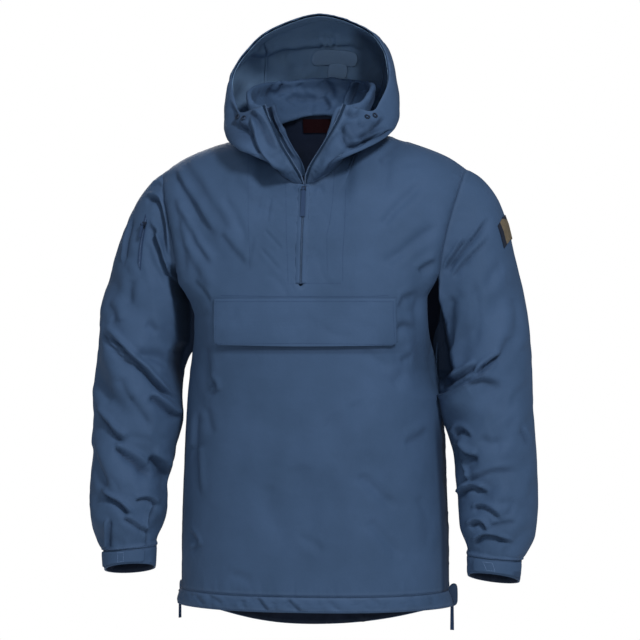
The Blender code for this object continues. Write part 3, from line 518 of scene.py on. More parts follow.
def work_cloth(mesh, groups, swell=0.5, pucker=0.7, seam_depth=0.12, grain=60.0, neck_tuck=0.0,
               tuck=SEAM_TUCK, hollow=(), waist=(), lean=0.0, gather=0.0, shades=(), inside=(), hard=()):
    """Press folds, seams and a soft unevenness into a fine sheet, along its own normals (mm).

    Each group is a weight function of points and normals, and a table of folds as seen from the
    front. The cloth stays flat round hard nodes.
    """
    points = read_points(mesh) * MM
    flat = np.empty(len(points) * 3, dtype=np.float32)
    mesh.vertex_normals.foreach_get("vector", flat)
    outward = flat.reshape(-1, 3).astype(float)
    lift, painted_shade = press_folds(points, outward, groups)
    # painted shade for the lining side, from the inside patches
    inner_painted_shade = np.zeros(len(points))
    lay_shades(painted_shade, points, outward, shades)
    lay_shades(inner_painted_shade, points, outward, inside)
    lift += swell * np.array([noise.noise(Vector(p) / grain) for p in points])
    lift += 0.5 * swell * np.array([noise.noise(Vector(p) / (grain * 0.3) + Vector((7, 3, 1)))
                                    for p in points])
    if hard:
        corners = [vert.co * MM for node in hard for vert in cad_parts[node].data.vertices]
        lift *= ramp(np.array([hit[2] for hit in nearest(list(enumerate(corners)), points)]), 3, 14)
    rim = rim_points(mesh)
    rubbed = np.zeros(len(points))
    if rim and seam_depth:
        gap, rubbed = sew_edges(points, lift, rim, pucker, seam_depth, tuck, neck_tuck)
    if lean:
        # the sleeve leans in at the elbow
        closer = lean * ramp(-points[:, 2], 280, 330) * (1 - ramp(-points[:, 2], 440, 490))
        points[:, 0] -= closer * np.exp(-((points[:, 0] - 214) / 24) ** 2)
    if hollow:
        painted_shade = fold_under_arm(points, painted_shade, hollow)
    if waist:
        draw_in_waist(points, waist)
    if gather:
        gather_at_cuff(points, rim, gap, gather)
    write_points(mesh, (points + outward * lift[:, None]) / MM)
    # The seam mark is rubbed wear; the other two are painted shade, on the outer face and on the lining.
    for name, values in (("seam", rubbed), ("painted_shade", painted_shade), ("inside", inner_painted_shade)):
        mark = mesh.attributes.new(name, "FLOAT", "POINT")
        mark.data.foreach_set("value", values.astype(np.float32))


sewn = {}  # the finished outer sheet of each node, for what is laid on it


def add_wall(piece, thickness):
    """Give a sheet its thickness (mm), behind its outer face. The last material is the inner one."""
    wall = piece.modifiers.new("wall", "SOLIDIFY")
    wall.thickness = thickness / MM
    wall.offset = -1
    wall.material_offset = len(piece.data.materials) - 1


def declare(piece, node=None):
    """Hide the CAD node a sheet of cloth replaces, if any, and hang the sheet on the garment."""
    if node:
        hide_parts(node)
    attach(piece, "garment")


def cloth_piece(node, wall, groups, flat, held, rests, lining=DARK_SHADED_LINING, **settings):
    """A sewn piece made over its CAD node: fine folded face outside, wall and lining inside."""
    cloth = paired_faces(node)
    outer_face(cloth)
    lay_grid(cloth)
    mesh = refined(cloth, 3)
    work_cloth(mesh, groups, **settings)
    sewn[node] = mesh.copy()
    piece = add_object("cloth_" + node, mesh)
    mesh.materials.clear()
    mesh.materials.append(SHELL_CLOTH)
    mesh.materials.append(lining)
    add_wall(piece, wall)
    declare(piece, node)


def repeat_tree():
    """Geometry Nodes that lay one small rounded solid at each step of a row of points."""
    tree = bpy.data.node_groups.new("repeats", "GeometryNodeTree")
    for name, kind in (("Rows", "Geometry"), ("Pitch", "Float"), ("Size", "Vector"),
                       ("Unevenness", "Float"), ("Seed", "Int"), ("Material", "Material")):
        tree.interface.new_socket(name, in_out="INPUT", socket_type="NodeSocket" + kind)
    tree.interface.new_socket("Repeats", in_out="OUTPUT", socket_type="NodeSocketGeometry")
    given = add_node(tree, "NodeGroupInput")
    line = add_node(tree, "GeometryNodeMeshToCurve", None, {"Mesh": given.outputs["Rows"]})
    steps = add_node(tree, "GeometryNodeCurveToPoints", {"mode": "LENGTH"},
                     {"Curve": line.outputs[0], "Length": given.outputs["Pitch"]})
    off = add_node(tree, "GeometryNodeInputNamedAttribute", {"data_type": "FLOAT_VECTOR"},
                   {"Name": "out"})
    turn = add_node(tree, "FunctionNodeAxesToRotation", {"primary_axis": "Z", "secondary_axis": "X"},
                    {"Primary Axis": steps.outputs["Tangent"], "Secondary Axis": off.outputs[0]})
    bead = add_node(tree, "GeometryNodeMeshUVSphere", None, {"Segments": 6, "Rings": 3, "Radius": 1.0})
    low, high = [add_node(tree, "ShaderNodeMath", {"operation": way},
                          {0: 1.0, 1: given.outputs["Unevenness"]}) for way in ("SUBTRACT", "ADD")]
    chance = add_node(tree, "FunctionNodeRandomValue", {"data_type": "FLOAT"},
                      {2: low.outputs[0], 3: high.outputs[0], "Seed": given.outputs["Seed"]})
    size = add_node(tree, "ShaderNodeVectorMath", {"operation": "SCALE"},
                    {0: given.outputs["Size"], "Scale": chance.outputs[1]})
    laid = add_node(tree, "GeometryNodeInstanceOnPoints", None,
                    {"Points": steps.outputs["Points"], "Instance": bead.outputs["Mesh"],
                     "Rotation": turn.outputs[0], "Scale": size.outputs[0]})
    real = add_node(tree, "GeometryNodeRealizeInstances", None, {"Geometry": laid.outputs[0]})
    paint = add_node(tree, "GeometryNodeSetMaterial", None,
                     {"Geometry": real.outputs[0], "Material": given.outputs["Material"]})
    add_node(tree, "NodeGroupOutput", None, {"Repeats": paint.outputs[0]})
    return tree


REPEATS = repeat_tree()


def lay_repeats(name, rows, pitch, size, unevenness, seed, material):
    """One mesh of small solids along rows of (place, outward) pairs in mm; size is half of each axis."""
    spots = [place / MM for row in rows for place, out in row]
    ways = [out for row in rows for place, out in row]
    links = []
    start = 0
    for row in rows:
        links += [(k, k + 1) for k in range(start, start + len(row) - 1)]
        start += len(row)
    mesh = bpy.data.meshes.new(name)
    mesh.from_pydata(spots, links, [])
    off = mesh.attributes.new("out", "FLOAT_VECTOR", "POINT")
    off.data.foreach_set("vector", [number for way in ways for number in way])
    piece = add_object(name, mesh)
    laid = piece.modifiers.new("repeats", "NODES")
    laid.node_group = REPEATS
    given = {"Pitch": pitch / MM, "Size": tuple(part / MM for part in size),
             "Unevenness": unevenness, "Seed": seed, "Material": material}
    for item in REPEATS.interface.items_tree:
        if item.in_out == "INPUT" and item.name in given:
            laid[item.identifier] = given[item.name]
    graph = bpy.context.evaluated_depsgraph_get()
    finished = bpy.data.meshes.new_from_object(piece.evaluated_get(graph))
    piece.modifiers.remove(laid)
    piece.data = finished
    finished.shade_smooth()
    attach(piece, "garment")


def laid_on(tree, start, way):
    """Where a ray (mm) lands on a surface, and the surface's outward direction there."""
    spot, normal, _, _ = tree.ray_cast(Vector(start) / MM, Vector(way))
    if spot is None:
        return None
    if normal.dot(Vector(way)) > 0:
        normal.negate()
    return spot * MM, normal


def face_tree(mesh):
    """A search tree of a mesh's faces."""
    return BVHTree.FromPolygons([vert.co for vert in mesh.vertices],
                                [face.vertices for face in mesh.polygons])


AWAY = 400  # a ray from here starts well clear of the cloth (mm)
STEP = 4  # how far apart drawn lines are laid onto the cloth (mm)


def drawn_rows(node, paths):
    """Rows drawn in mm as seen from the front, laid onto a sewn sheet."""
    tree = face_tree(sewn[node])
    rows = []
    for path in paths:
        row = []
        for (x, z), (next_x, next_z) in zip(path, path[1:]):
            count = max(2, round(math.hypot(next_x - x, next_z - z) / STEP))
            for k in range(count):
                share = k / count
                start = (x + (next_x - x) * share, -AWAY, z + (next_z - z) * share)
                hit = laid_on(tree, start, (0, 1, 0))
                if hit:
                    row.append(hit)
        rows.append(row)
    return rows


def rim_rows(node, inset, keep):
    """Rows a set way (mm) in from the open edges of a sewn sheet, where keep(place) holds."""
    mesh = sewn[node]
    tree = face_tree(mesh)
    rim = rim_points(mesh)
    beside = {k: [] for k in rim}
    for edge in mesh.edges:
        first, second = edge.vertices
        if first in rim and second in rim:
            beside[first].append(second)
            beside[second].append(first)
    rows = []
    left = {k for k in rim if keep(mesh.vertices[k].co * MM)}
    while left:
        ends = [k for k in left if sum(other in left for other in beside[k]) < 2]
        chain = [min(ends) if ends else min(left)]
        left.discard(chain[0])
        while True:
            onward = [k for k in beside[chain[-1]] if k in left]
            if not onward:
                break
            chain.append(onward[0])
            left.discard(onward[0])
        places = np.array([mesh.vertices[k].co * MM - rim[k] * inset for k in chain])
        for _ in range(4):
            if len(places) > 4:
                places[1:-1] = (places[:-2] + places[1:-1] + places[2:]) / 3
        row = []
        for place in places:
            spot, normal, _, _ = tree.find_nearest(Vector(place) / MM)
            row.append((spot * MM, normal))
        if len(row) > 4:
            rows.append(row)
    return rows


THREAD = plain_finish("polyester sewing thread", "#31466A", "#263858", 0.6, 0.0, 0.0006, 0.0001)


def lay_stitches(name, rows, seed):
    """Rows of seam stitches, 3 mm long and 4 mm apart."""
    lay_repeats(name, rows, 4.0, (0.32, 0.42, 1.5), 0.15, seed, THREAD)


def facing_front(points, outward):
    """Weight of places whose cloth faces forward."""
    return ramp(-outward[:, 1], -0.1, 0.4)


def facing_back(points, outward):
    """Weight of places whose cloth faces back."""
    return ramp(outward[:, 1], -0.1, 0.4)


def everywhere(points, outward):
    """The same full weight all over."""
    return 1.0


# Seen from the front in mm
FRONT_CREASES = [
    (-221, -61, -186, -107, -151, -155, 5.1, 4.3), (-206, -41, -151, -110, -122, -150, 6.9, 2.1),
    (-216, -109, -204, -160, -194, -216, 6.3, 2.9), (-204, -129, -178, -173, -152, -205, 5.1, 3.3),
    (-194, -184, -175, -220, -153, -245, 6.9, 2.6), (-132, -163, -112, -184, -86, -210, 5.1, 2.3),
    (-126, -105, -108, -132, -91, -172, 5.9, 1.6), (-72, -94, -73, -111, -76, -129, 3.2, 1.1),
    (-54, -104, -55, -122, -55, -140, 2.4, 1.4), (-58, -156, -46, -169, -33, -183, 2.4, 1.4),
    (-63, -185, -50, -199, -34, -214, 2.4, 1.4), (-79, -168, -83, -188, -83, -209, 3.2, 1.1),
    (-177, -236, -163, -251, -150, -268, 5.1, 2.5), (-163, -344, -160, -380, -153, -416, 7.2, 3.5),
    (-155, -394, -145, -403, -151, -413, 4.7, 3.6), (-157, -441, -155, -460, -149, -479, 7.2, 2.2),
    (-177, -458, -181, -514, -175, -571, 5.5, 3.6), (-192, -643, -181, -657, -190, -672, 3.8, 3),
    (87, -430, 96, -473, 102, -534, 14, 3.3), (96, -546, 117, -566, 142, -592, 7.2, 3.8),
    (112, -619, 133, -646, 151, -672, 8.1, 3.8), (-1, -533, 6, -581, 12, -638, 19.1, 2.7),
    (-53, -566, -48, -606, -26, -645, 15.7, 2.3), (165, -489, 180, -483, 194, -471, 6.4, 2.7),
    (186, -217, 196, -210, 209, -205, 4.7, 4.8), (159, -274, 171, -261, 187, -259, 5.5, 3.3),
    (143, -320, 162, -309, 183, -315, 7.2, 4.4), (160, -361, 169, -355, 177, -353, 5.5, 2.7),
    (130, -141, 155, -110, 186, -79, 7.2, 3.8), (137, -204, 170, -177, 206, -150, 7.2, 3.8),
    (129, -39, 130, -65, 128, -89, 7.2, 2.5), (120, -40, 132, -24, 144, -7, 4.7, 2.7),
    (146, -399, 154, -391, 166, -379, 8.1, 2.5), (103, -347, 118, -359, 136, -372, 7.2, 2.2),
    (47, -454, 64, -486, 68, -533, 17.4, 2.5), (197, -264, 190, -312, 196, -377, 8.1, 3.5),
    (-115, -704, -101, -706, -84, -715, 6.4, 1.7), (-3, -642, 17, -651, 33, -665, 7.2, 2),
    (183, -584, 194, -617, 193, -657, 7.2, 2.2), (-113, -71, -91, -98, -66, -121, 8.1, 1.9),
    (13, -89, 22, -82, 29, -92, 3.8, 1.9),
]
BACK_CREASES = [
    (150, -60, 178, -98, 200, -150, 6.8, 6.7), (-150, -55, -182, -104, -204, -160, 6.8, 6.7),
    (120, -95, 150, -150, 190, -205, 7.7, 5.8), (-128, -90, -158, -152, -192, -200, 7.7, 5.4),
    (-60, -60, 0, -78, 66, -58, 11.2, 4.1), (-95, -130, -20, -158, 60, -140, 14.8, 3),
    (60, -215, 110, -262, 180, -285, 10.3, 4.3), (-70, -230, -120, -268, -182, -280, 10.3, 4.1),
    (-40, -330, 10, -355, 88, -348, 14.8, 3), (-150, -350, -120, -395, -98, -450, 11.2, 3.7),
    (150, -340, 132, -402, 104, -455, 11.2, 4.1), (-30, -430, 0, -520, -18, -600, 20.2, 3),
    (80, -500, 96, -566, 86, -640, 16.7, 3.7), (-110, -520, -118, -590, -104, -662, 14.8, 3.7),
    (180, -460, 186, -530, 180, -600, 9.5, 3.7), (-182, -440, -188, -520, -180, -610, 9.5, 3.7),
    (20, -640, 44, -672, 80, -690, 8.6, 2.6), (-70, -655, -48, -680, -16, -694, 8.6, 2.6),
]
# How far each side draws in under its arm (mm), by depth below the shoulder
WAIST = (
    ((236, 0), (250, 7), (266, 15), (288, 19), (321, 12), (349, 4), (378, 0)),
    ((222, 0), (238, 6), (258, 16), (296, 13), (329, 11), (378, 12), (403, 6), (420, 0)),
)


def side_strip(points, outward):
    """Weight of the narrow strip in front of each side zip, turned far away from the camera, that is
    painted in shade.
    """
    turned = np.abs(outward[:, 0]) * 0.99 + outward[:, 1] * 0.139
    return ramp(turned, 0.86, 0.91) * ramp(-points[:, 2], 430, 500)


# The front takes painted shade on the strips in front of the side zips, turned away from the light, and a
# painted shadow under the pocket flap.
cloth_piece("front", 2.6, [
    (facing_front, FRONT_CREASES),
    (facing_front, crumples((-215, -300), (215, -40), 46, -30, 45, (18, 55), (4, 7), (0.3, 0.8), 11)),
    (facing_front, crumples((-215, -720), (215, -350), 18, 70, 50, (40, 100), (8, 14), (0.2, 0.5), 12)),
], (0.62, 0.72), "stretched", ["back"], neck_tuck=3.5, waist=WAIST,
    shades=[(side_strip, 0, -600, 900, 900, 1.3), (facing_front, 4, -342, 190, 9, 0.6)],
    hard=["zip_tape", "zip_slider", "pocket_flap"])
cloth_piece("back", 2.6, [
    (facing_back, BACK_CREASES),
    (facing_back, crumples((-215, -330), (215, 0), 50, 20, 60, (20, 60), (5, 8), (0.4, 1.2), 13)),
    (facing_back, crumples((-215, -700), (215, -340), 44, 75, 45, (30, 90), (6, 12), (0.4, 1.2), 14)),
], (0.6, 0.75), "stretched", ["front"], neck_tuck=5.0, waist=WAIST)
# Placket and yoke lines, the welt of the pocket, and the shoulder and side seams
FRONT_LINES = [
    ((-96, -21), (-90, -88), (-86, -153), (-82, -217)),
    ((47, -58), (47, -103), (44, -139), (40, -161), (42, -220)),
    ((67, -89), (68, -144), (66, -193), (67, -238)),
    ((-30, -80), (-27, -126), (-23, -185), (-20, -237)),
    ((-20, -239), (16, -238), (42, -238), (67, -238)),
    ((-128, -257), (-33, -259), (31, -259), (107, -259), (141, -257)),
]
rows = drawn_rows("front", FRONT_LINES)
rows += rim_rows("front", 6, lambda place: abs(place.x) > 120 and place.z > -240)
rows += rim_rows("back", 6, lambda place: place.z > -240)
lay_stitches("stitches_body", rows, 1)


# ---- Hem bands ----
# A turned-up band of the shell cloth along the front edge, and a deeper dropped tail behind,
# each sewn on with two rows of stitches and held in by an elastic cord.
HEM_PUCKERS = [
    (-71, -741, -63, -751, -55, -760, 3.5, 3.2), (-21, -742, -11, -752, -1, -760, 3.5, 3.2),
    (-149, -742, -142, -747, -133, -752, 3.5, 1.8), (45, -743, 53, -751, 62, -758, 4, 1.8),
    (109, -741, 117, -748, 121, -757, 3.5, 1.8), (-101, -745, -96, -754, -90, -760, 3.5, 1.5),
    (168, -736, 174, -743, 177, -752, 3.5, 1.8), (194, -735, 200, -739, 203, -749, 3.5, 1.5),
    (-181, -741, -175, -748, -167, -754, 3.5, 1.6),
]
cloth_piece("hem_front", 3.4, [
    (facing_front, HEM_PUCKERS),
    (facing_front, crumples((-225, -758), (225, -738), 34, -65, 25, (10, 20), (3, 5), (0.4, 1.2), 21)),
], (0.6, 0.028), "stretched", ["front"], swell=0.5, pucker=0.5, seam_depth=0.7)
cloth_piece("hem_back", 3.4, [
    (facing_back, crumples((-225, -808), (225, -738), 60, -80, 30, (14, 50), (4, 7), (0.5, 1.6), 22)),
], (0.6, 0.056), "stretched", ["back"], swell=0.5, pucker=0.6, seam_depth=0.9)
rows = []
for node in ("front", "back"):
    rows += rim_rows(node, 3, lambda place: place.z < -700 and abs(place.x) < 205)
for node in ("hem_front", "hem_back"):
    rows += rim_rows(node, 3, lambda place: True)
lay_stitches("stitches_hem", rows, 2)


# ---- Sleeves ----
# Two tapered tubes of the shell cloth over wadding, set into the armholes, that hang with deep
# slanting folds at the elbow and above the cuff.
RIGHT_SLEEVE_CREASES = [
    (-341, -322, -318, -344, -279, -374, 4.7, 7),
    (-327, -322, -291, -355, -259, -389, -230, -420, 4.7, 12.6),
    (-274, -353, -248, -356, -224, -375, 7.2, 6.3), (-254, -423, -237, -438, -221, -457, 5.5, 9.5),
    (-349, -448, -324, -475, -300, -493, 5.5, 9.5), (-312, -507, -285, -522, -263, -547, 5.5, 9.5),
    (-260, -522, -247, -536, -240, -559, 6.4, 10.5), (-360, -510, -345, -541, -330, -568, 8.1, 7.1),
    (-333, -582, -305, -596, -291, -610, 3.8, 9.5), (-276, -588, -260, -587, -252, -597, 3.8, 7.1),
    (-252, -597, -260, -621, -263, -659, 3, 8.8), (-294, -618, -276, -630, -262, -644, 3, 6.3),
    (-324, -625, -327, -650, -329, -669, 3, 6.3), (-266, -97, -250, -103, -240, -127, -234, -180, 4, 9),
    (-266, -73, -256, -72, -248, -78, 3, 2.4), (-253, -158, -241, -192, -228, -225, -219, -254, 3.4, 12),
    (-263, -143, -256, -146, -248, -154, 4.7, 5.3), (-265, -176, -254, -206, -232, -244, 8, 4),
    (-299, -138, -303, -173, -304, -201, 3, 5.3), (-291, -234, -294, -252, -297, -270, 7.2, 4.6),
    (-263, -304, -256, -309, -248, -317, 7.2, 4.2), (-290, -426, -273, -445, -259, -472, 8.1, 3.8),
    (-307, -394, -299, -413, -290, -429, 8.1, 3.8), (-356, -395, -339, -414, -330, -433, 7.2, 3.8),
    (-330, -271, -319, -288, -322, -304, 6.4, 3.8), (-345, -215, -310, -255, -262, -292, 17, 3.5),
    (-352, -462, -310, -500, -258, -556, 14, 4), (-348, -392, -300, -436, -250, -472, 14, 3.5),
    (-352, -588, -318, -622, -280, -648, 12, 3),
]
LEFT_SLEEVE_CREASES = [
    (224, -213, 238, -190, 252, -170, 3, 8.4), (232, -210, 259, -173, 286, -140, 3, 6.7),
    (238, -221, 262, -194, 288, -168, 3, 4.6), (228, -399, 251, -381, 272, -371, 4.7, 10.5),
    (276, -379, 295, -363, 312, -355, 3.8, 9.5), (259, -398, 279, -395, 307, -401, 6.4, 5.3),
    (213, -419, 254, -401, 287, -377, 312, -360, 3, -6.3), (238, -479, 247, -472, 261, -481, 3.8, 7.1),
    (240, -498, 256, -513, 274, -516, 5.5, 10.5), (244, -526, 250, -540, 255, -552, 3.8, 8.4),
    (262, -553, 295, -539, 334, -535, 5.5, 4.2), (246, -575, 264, -564, 285, -570, 3.8, 9.2),
    (271, -597, 289, -595, 311, -612, 3.8, 6.3), (263, -624, 276, -619, 287, -630, 3.8, 8.4),
    (299, -623, 316, -620, 336, -617, 5.5, 3.8), (271, -648, 295, -639, 327, -649, 3, 8.4),
    (325, -328, 318, -347, 304, -372, 7.2, 4.6), (272, -248, 274, -293, 269, -336, 7.2, 2.9),
    (282, -487, 298, -495, 311, -488, 8.1, 3.4), (309, -213, 297, -226, 291, -248, 8.1, 3.4),
    (332, -264, 337, -296, 331, -328, 7.2, 3.8), (311, -590, 324, -586, 333, -595, 7.2, 3.4),
    (344, -472, 350, -483, 356, -495, 3.8, 4.2), (233, -264, 229, -296, 229, -344, 7.2, 3.4),
    (338, -232, 296, -290, 246, -330, 17, 3.5), (350, -420, 304, -436, 256, -462, 14, 3.5),
    (352, -520, 310, -548, 262, -590, 14, 3.5), (350, -596, 318, -614, 284, -616, 12, 3),
]
# Behind, on the wearer's right; the left sleeve takes them mirrored
SLEEVE_BACK_CREASES = [
    (-236, -120, -256, -160, -262, -214, 6.3, 6.5), (-342, -330, -300, -352, -246, -368, 6.3, 8.3),
    (-352, -372, -312, -398, -262, -404, 6.3, 7.7), (-240, -392, -268, -428, -312, -446, 7.2, 6.5),
    (-354, -446, -322, -478, -282, -486, 6.3, 7.7), (-246, -494, -274, -520, -314, -532, 6.3, 6.9),
    (-352, -540, -318, -566, -280, -572, 6.3, 7.3), (-258, -584, -286, -606, -322, -612, 5.4, 6.5),
    (-340, -618, -312, -634, -276, -636, 4.5, 6.2), (-318, -150, -326, -204, -318, -262, 9.9, 4),
    (-262, -258, -282, -290, -318, -300, 9, 4.4),
]
# Down each arm: depth (mm), share of the drop, where the front edge lies, and the way off the body
RIGHT_HOLLOW = (
    (205, 0, 226, 0), (240, 0.85, 225, 0), (263, 0.85, 219.6, 0), (296, 0.85, 218, 0),
    (332, 0.85, 220.4, 0), (349, 0.85, 231, 3), (362, 0.85, 227, 8), (378, 0.8, 222, 13),
    (392, 0.7, 216, 13), (411, 0.4, 212, 10), (428, 0.1, 210, 5), (445, 0, 210, 1), (460, 0, 210, 0),
)
LEFT_HOLLOW = (
    (195, 0, 208, 0), (225, 0.85, 208, 0), (263, 0.85, 208.4, 0), (280, 0.85, 213.3, 0),
    (296, 0.85, 216.7, 0), (329, 0.85, 223.3, -5), (354, 0.85, 230, -9), (378, 0.85, 235, -8),
    (391, 0.7, 230, -4), (405, 0.25, 222, 0), (420, 0, 215, 0),
)
LEFT_RISE = 6  # the left sleeve's back folds lie a little higher
mirrored = [(-x1, z1 + LEFT_RISE, -x2, z2 + LEFT_RISE, -x3, z3 + LEFT_RISE, half, depth)
            for x1, z1, x2, z2, x3, z3, half, depth in SLEEVE_BACK_CREASES]
for node, folds, behind, side, seed, hollow, hard in (
        ("sleeve_right", RIGHT_SLEEVE_CREASES, SLEEVE_BACK_CREASES, -1, 31, RIGHT_HOLLOW,
         ["sleeve_zip", "sleeve_slider"]),
        ("sleeve_left", LEFT_SLEEVE_CREASES, mirrored, 1, 41, LEFT_HOLLOW, ["sleeve_badge"])):
    low = (290 * side - 75, -665)
    high = (290 * side + 75, -110)
    # the deeper folds are also the sharper ones
    folds = [(*path, half * (0.8 if half < 6 else 1), depth) for *path, half, depth in folds]
    small = crumples(low, high, 60, side * 40, 40, (18, 60), (4, 8), (0.5, 1.4), seed)
    rear = crumples(low, high, 60, side * -30, 40, (18, 60), (4, 8), (0.5, 1.4), seed + 1)
    cloth_piece(node, 2.6, [
        (facing_front, folds + small),
        (facing_back, behind + rear),
    ], (0.44, 0.62), "hung", ["front", "back"], hollow=hollow, lean=7 * (side > 0), gather=0.1, hard=hard)


# ---- Cuffs and their tabs ----
# A short band of doubled shell cloth on each sleeve end, drawn in by a hook-and-loop tab that is
# boxed down with stitches at one end.
for node, seed in (("cuff_right", 51), ("cuff_left", 52)):
    small, rear = [crumples((-345, -712), (345, -668), 60, 85, 20, (14, 30), (3, 5), depth, seed)
                   for depth in ((0.4, 1.1), (0.6, 1.6))]
    cloth_piece(node, 2.8, [
        (facing_front, small),
        (facing_back, rear),
    ], (0.24, 0.04), "gathered", [node.replace("cuff", "sleeve")], swell=0.4, pucker=0.4,
        seam_depth=0.4, hard=[node.replace("cuff", "cuff_tab")])


OUTER_COVER = -0.0018  # where a trim's outer and inner side lie under its cover (metres)
INNER_COVER = -0.0028
COVER_REACH = 0.012
BESIDE_COVER = 0.0005


def keep_under(mesh, cover):
    """Keep a thin trim inside the folds of the sewn sheet over it."""
    tree = face_tree(sewn[cover])
    points = read_points(mesh)
    for k, vert in enumerate(mesh.vertices):
        spot, normal, _, _ = tree.find_nearest(vert.co)
        off = vert.co - spot
        proud = off.dot(normal)
        limit = OUTER_COVER if vert.normal.dot(normal) > 0 else INNER_COVER
        beside = (off - proud * normal).length
        if proud > limit and off.length < COVER_REACH and beside < BESIDE_COVER:
            points[k] += (limit - proud) * np.array(normal)
    write_points(mesh, points)


def trim_piece(node, material, turn=0.0, shades=(), inside=(), under=()):
    """A small flat trim made whole from its CAD node, with rounded edges."""
    cloth = paired_faces(node)
    lay_grid(cloth)
    mesh = refined(cloth, 2)
    work_cloth(mesh, [], swell=0.25, grain=14.0, seam_depth=0, shades=shades, inside=inside)
    if turn:
        # it wraps the corner of the hem, so it stands upright and turns with the side
        points = read_points(mesh)
        lean = np.polyfit(points[:, 2], points[:, 0], 1)[0]
        points[:, 0] -= lean * (points[:, 2] - points[:, 2].mean())
        points[:, 0] += turn * (points[:, 1] - points[:, 1].mean())
        write_points(mesh, points)
    for cover in under:
        keep_under(mesh, cover)
    mesh.materials.clear()
    mesh.materials.append(material)
    sewn[node] = mesh.copy()
    piece = add_object("trim_" + node, mesh)
    declare(piece, node)


# Each cuff tab takes a dark square at its end, where the hook tape shows, and each hem tab is drawn darker
# over most of its face; both go through the painted shade mark.
for side in ("right", "left"):
    way = 1 if side == "left" else -1
    trim_piece("cuff_tab_" + side, SHELL_CLOTH,
               shades=[(facing_front, way * 337, -702, 8, 7, 0.7)])
    trim_piece("hem_tab_" + side, SHELL_CLOTH, turn=way * 0.6,
               shades=[(facing_front, way * 226, -745, 20, 40, 0.8)])
rows = []
for node in ("cuff_right", "cuff_left"):
    rows += rim_rows(node, 3.5, lambda place: True)
for node in ("sleeve_right", "sleeve_left"):
    rows += rim_rows(node, 4, lambda place: place.z < -640)
lay_stitches("stitches_cuffs", rows, 3)
PALE_THREAD = plain_finish("polyester bar-tack thread", "#667EA0", "#566E90", 0.6, 0.0, 0.0006, 0.0001)
RIGHT_BOX = ((-309, -674), (-299, -673), (-299, -687), (-309, -689), (-309, -674))
LEFT_BOX = ((284, -681), (299, -682), (303, -695), (290, -694), (284, -681))
rows = drawn_rows("cuff_tab_right", [RIGHT_BOX]) + drawn_rows("cuff_tab_left", [LEFT_BOX])
lay_repeats("stitches_tabs", rows, 2.6, (0.5, 0.6, 1.4), 0.15, 9, PALE_THREAD)


# ---- Collar ----
# A thickly padded stand-up collar inside the hood, rounded along its top edge, with the front
# zip running up both of its front edges.
def padded_piece(node, groups, flat, rests, **settings):
    """A padded piece made whole from its CAD node, rounded and puffed on every side."""
    cloth = paired_faces(node)
    lay_grid(cloth)
    mesh = refined(cloth, 3)
    work_cloth(mesh, groups, seam_depth=0, **settings)
    sewn[node] = mesh.copy()
    mesh.materials.clear()
    mesh.materials.append(SHELL_CLOTH)
    piece = add_object("cloth_" + node, mesh)
    declare(piece, node)


def inner_back(points, outward):
    """Weight of the collar's inner back, seen through the neck opening."""
    return ramp(-outward[:, 1], 0.0, 0.5) * ramp(points[:, 1], 10, 40)


def lapels(points, outward):
    """Weight of the collar's front."""
    return ramp(-outward[:, 1], 0.0, 0.5) * ramp(-points[:, 1], 40, 70)


COLLAR_CREASES = [
    (59, 99, 52, 82, 47, 64, 2.8, 7), (-61, 104, -64, 93, -70, 81, 5.5, 4.8),
    (-73, 100, -82, 87, -89, 71, 4.5, 4.8), (5, 107, 13, 93, 19, 76, 6.5, 3.6),
    (-55, 71, -37, 77, 0, 71, 5.5, 3.6), (0, 77, 7, 68, 15, 59, 4.5, 3.6),
    (68, 103, 78, 86, 70, 74, 5.5, 3.6), (-37, 98, -34, 85, -38, 73, 8.5, 2.8),
]
padded_piece("collar", [
    (inner_back, COLLAR_CREASES),
    (inner_back, crumples((-100, 60), (100, 108), 22, 85, 30, (12, 34), (4, 7), (0.4, 1.3), 61)),
    (lapels, crumples((-100, -60), (100, 60), 22, 60, 50, (12, 34), (4, 7), (0.3, 1.0), 62)),
    (facing_back, crumples((-100, 50), (100, 108), 24, 85, 30, (12, 34), (4, 7), (0.4, 1.2), 63)),
], (0.5, 0.12), ["front", "back"], swell=1.2, grain=26.0)


# ---- Hood ----
# Three panels, a centre strip over the crown and two sides, with a facing inside the rim that
# forms the cord channel. The hood stands open, propped by its padding.
def hood_inside(points, outward):
    """Weight of the hood behind the opening; its inner wall shows there."""
    return ramp(outward[:, 1] + 0.6 * outward[:, 2], 0.0, 0.4) * ramp(points[:, 1], -30, 0)


def turned_away(points, outward):
    """Weight of cloth whose inner side can be seen from the front."""
    return ramp(outward[:, 1] - 0.14 * outward[:, 0], 0.0, 0.3)


def hood_rolls(points, outward):
    """Weight of the hood's lower front, rolled over the chest."""
    return ramp(-outward[:, 1], -0.2, 0.3) * ramp(-points[:, 1], 30, 60)


# Painted light: the hood's lining and its strap are lighter copies of the shell cloth, for the light
# inside the open hood. The lining also reads the inside mark of painted shade.
LIT_HOOD_LINING = woven_cloth("woven hood lining painted lighter", "#7797BB", "#6888AC", 0.8, "inside")
LIT_STRAP_CLOTH = woven_cloth("doubled woven strap", "#809DBE", "#7290B3", 0.8)
HOOD_ROLL_CREASES = [
    (-116, 39, -98, 16, -80, 3, 6, 6.5), (-88, 37, -65, 10, -41, -26, 7, 7.5),
    (-88, 20, -78, -14, -62, -42, -37, -63, 3.6, 7.5), (-125, 51, -108, 25, -101, 8, 6, 5),
    (-66, 26, -52, 3, -42, -19, 5, 4.5), (62, 6, 74, -12, 92, -24, 5, 6),
    (120, 23, 110, 1, 90, -10, 6, 7.5), (136, 5, 121, -8, 101, -12, 5, 7), (67, 35, 78, 26, 90, 30, 4, 5),
    (92, 13, 103, 19, 115, 16, 6, 4.5), (66, -12, 84, -22, 105, -12, 123, 1, 3, 5.5),
    (19, -76, 32, -68, 49, -51, 5, 4.5), (-112, 30, -84, -12, -48, -52, 11, 6),
    (-84, 44, -58, 4, -30, -48, 10, -4.5), (128, 12, 92, -24, 48, -50, 11, 5),
    (84, 44, 70, 6, 36, -34, 10, -4),
]
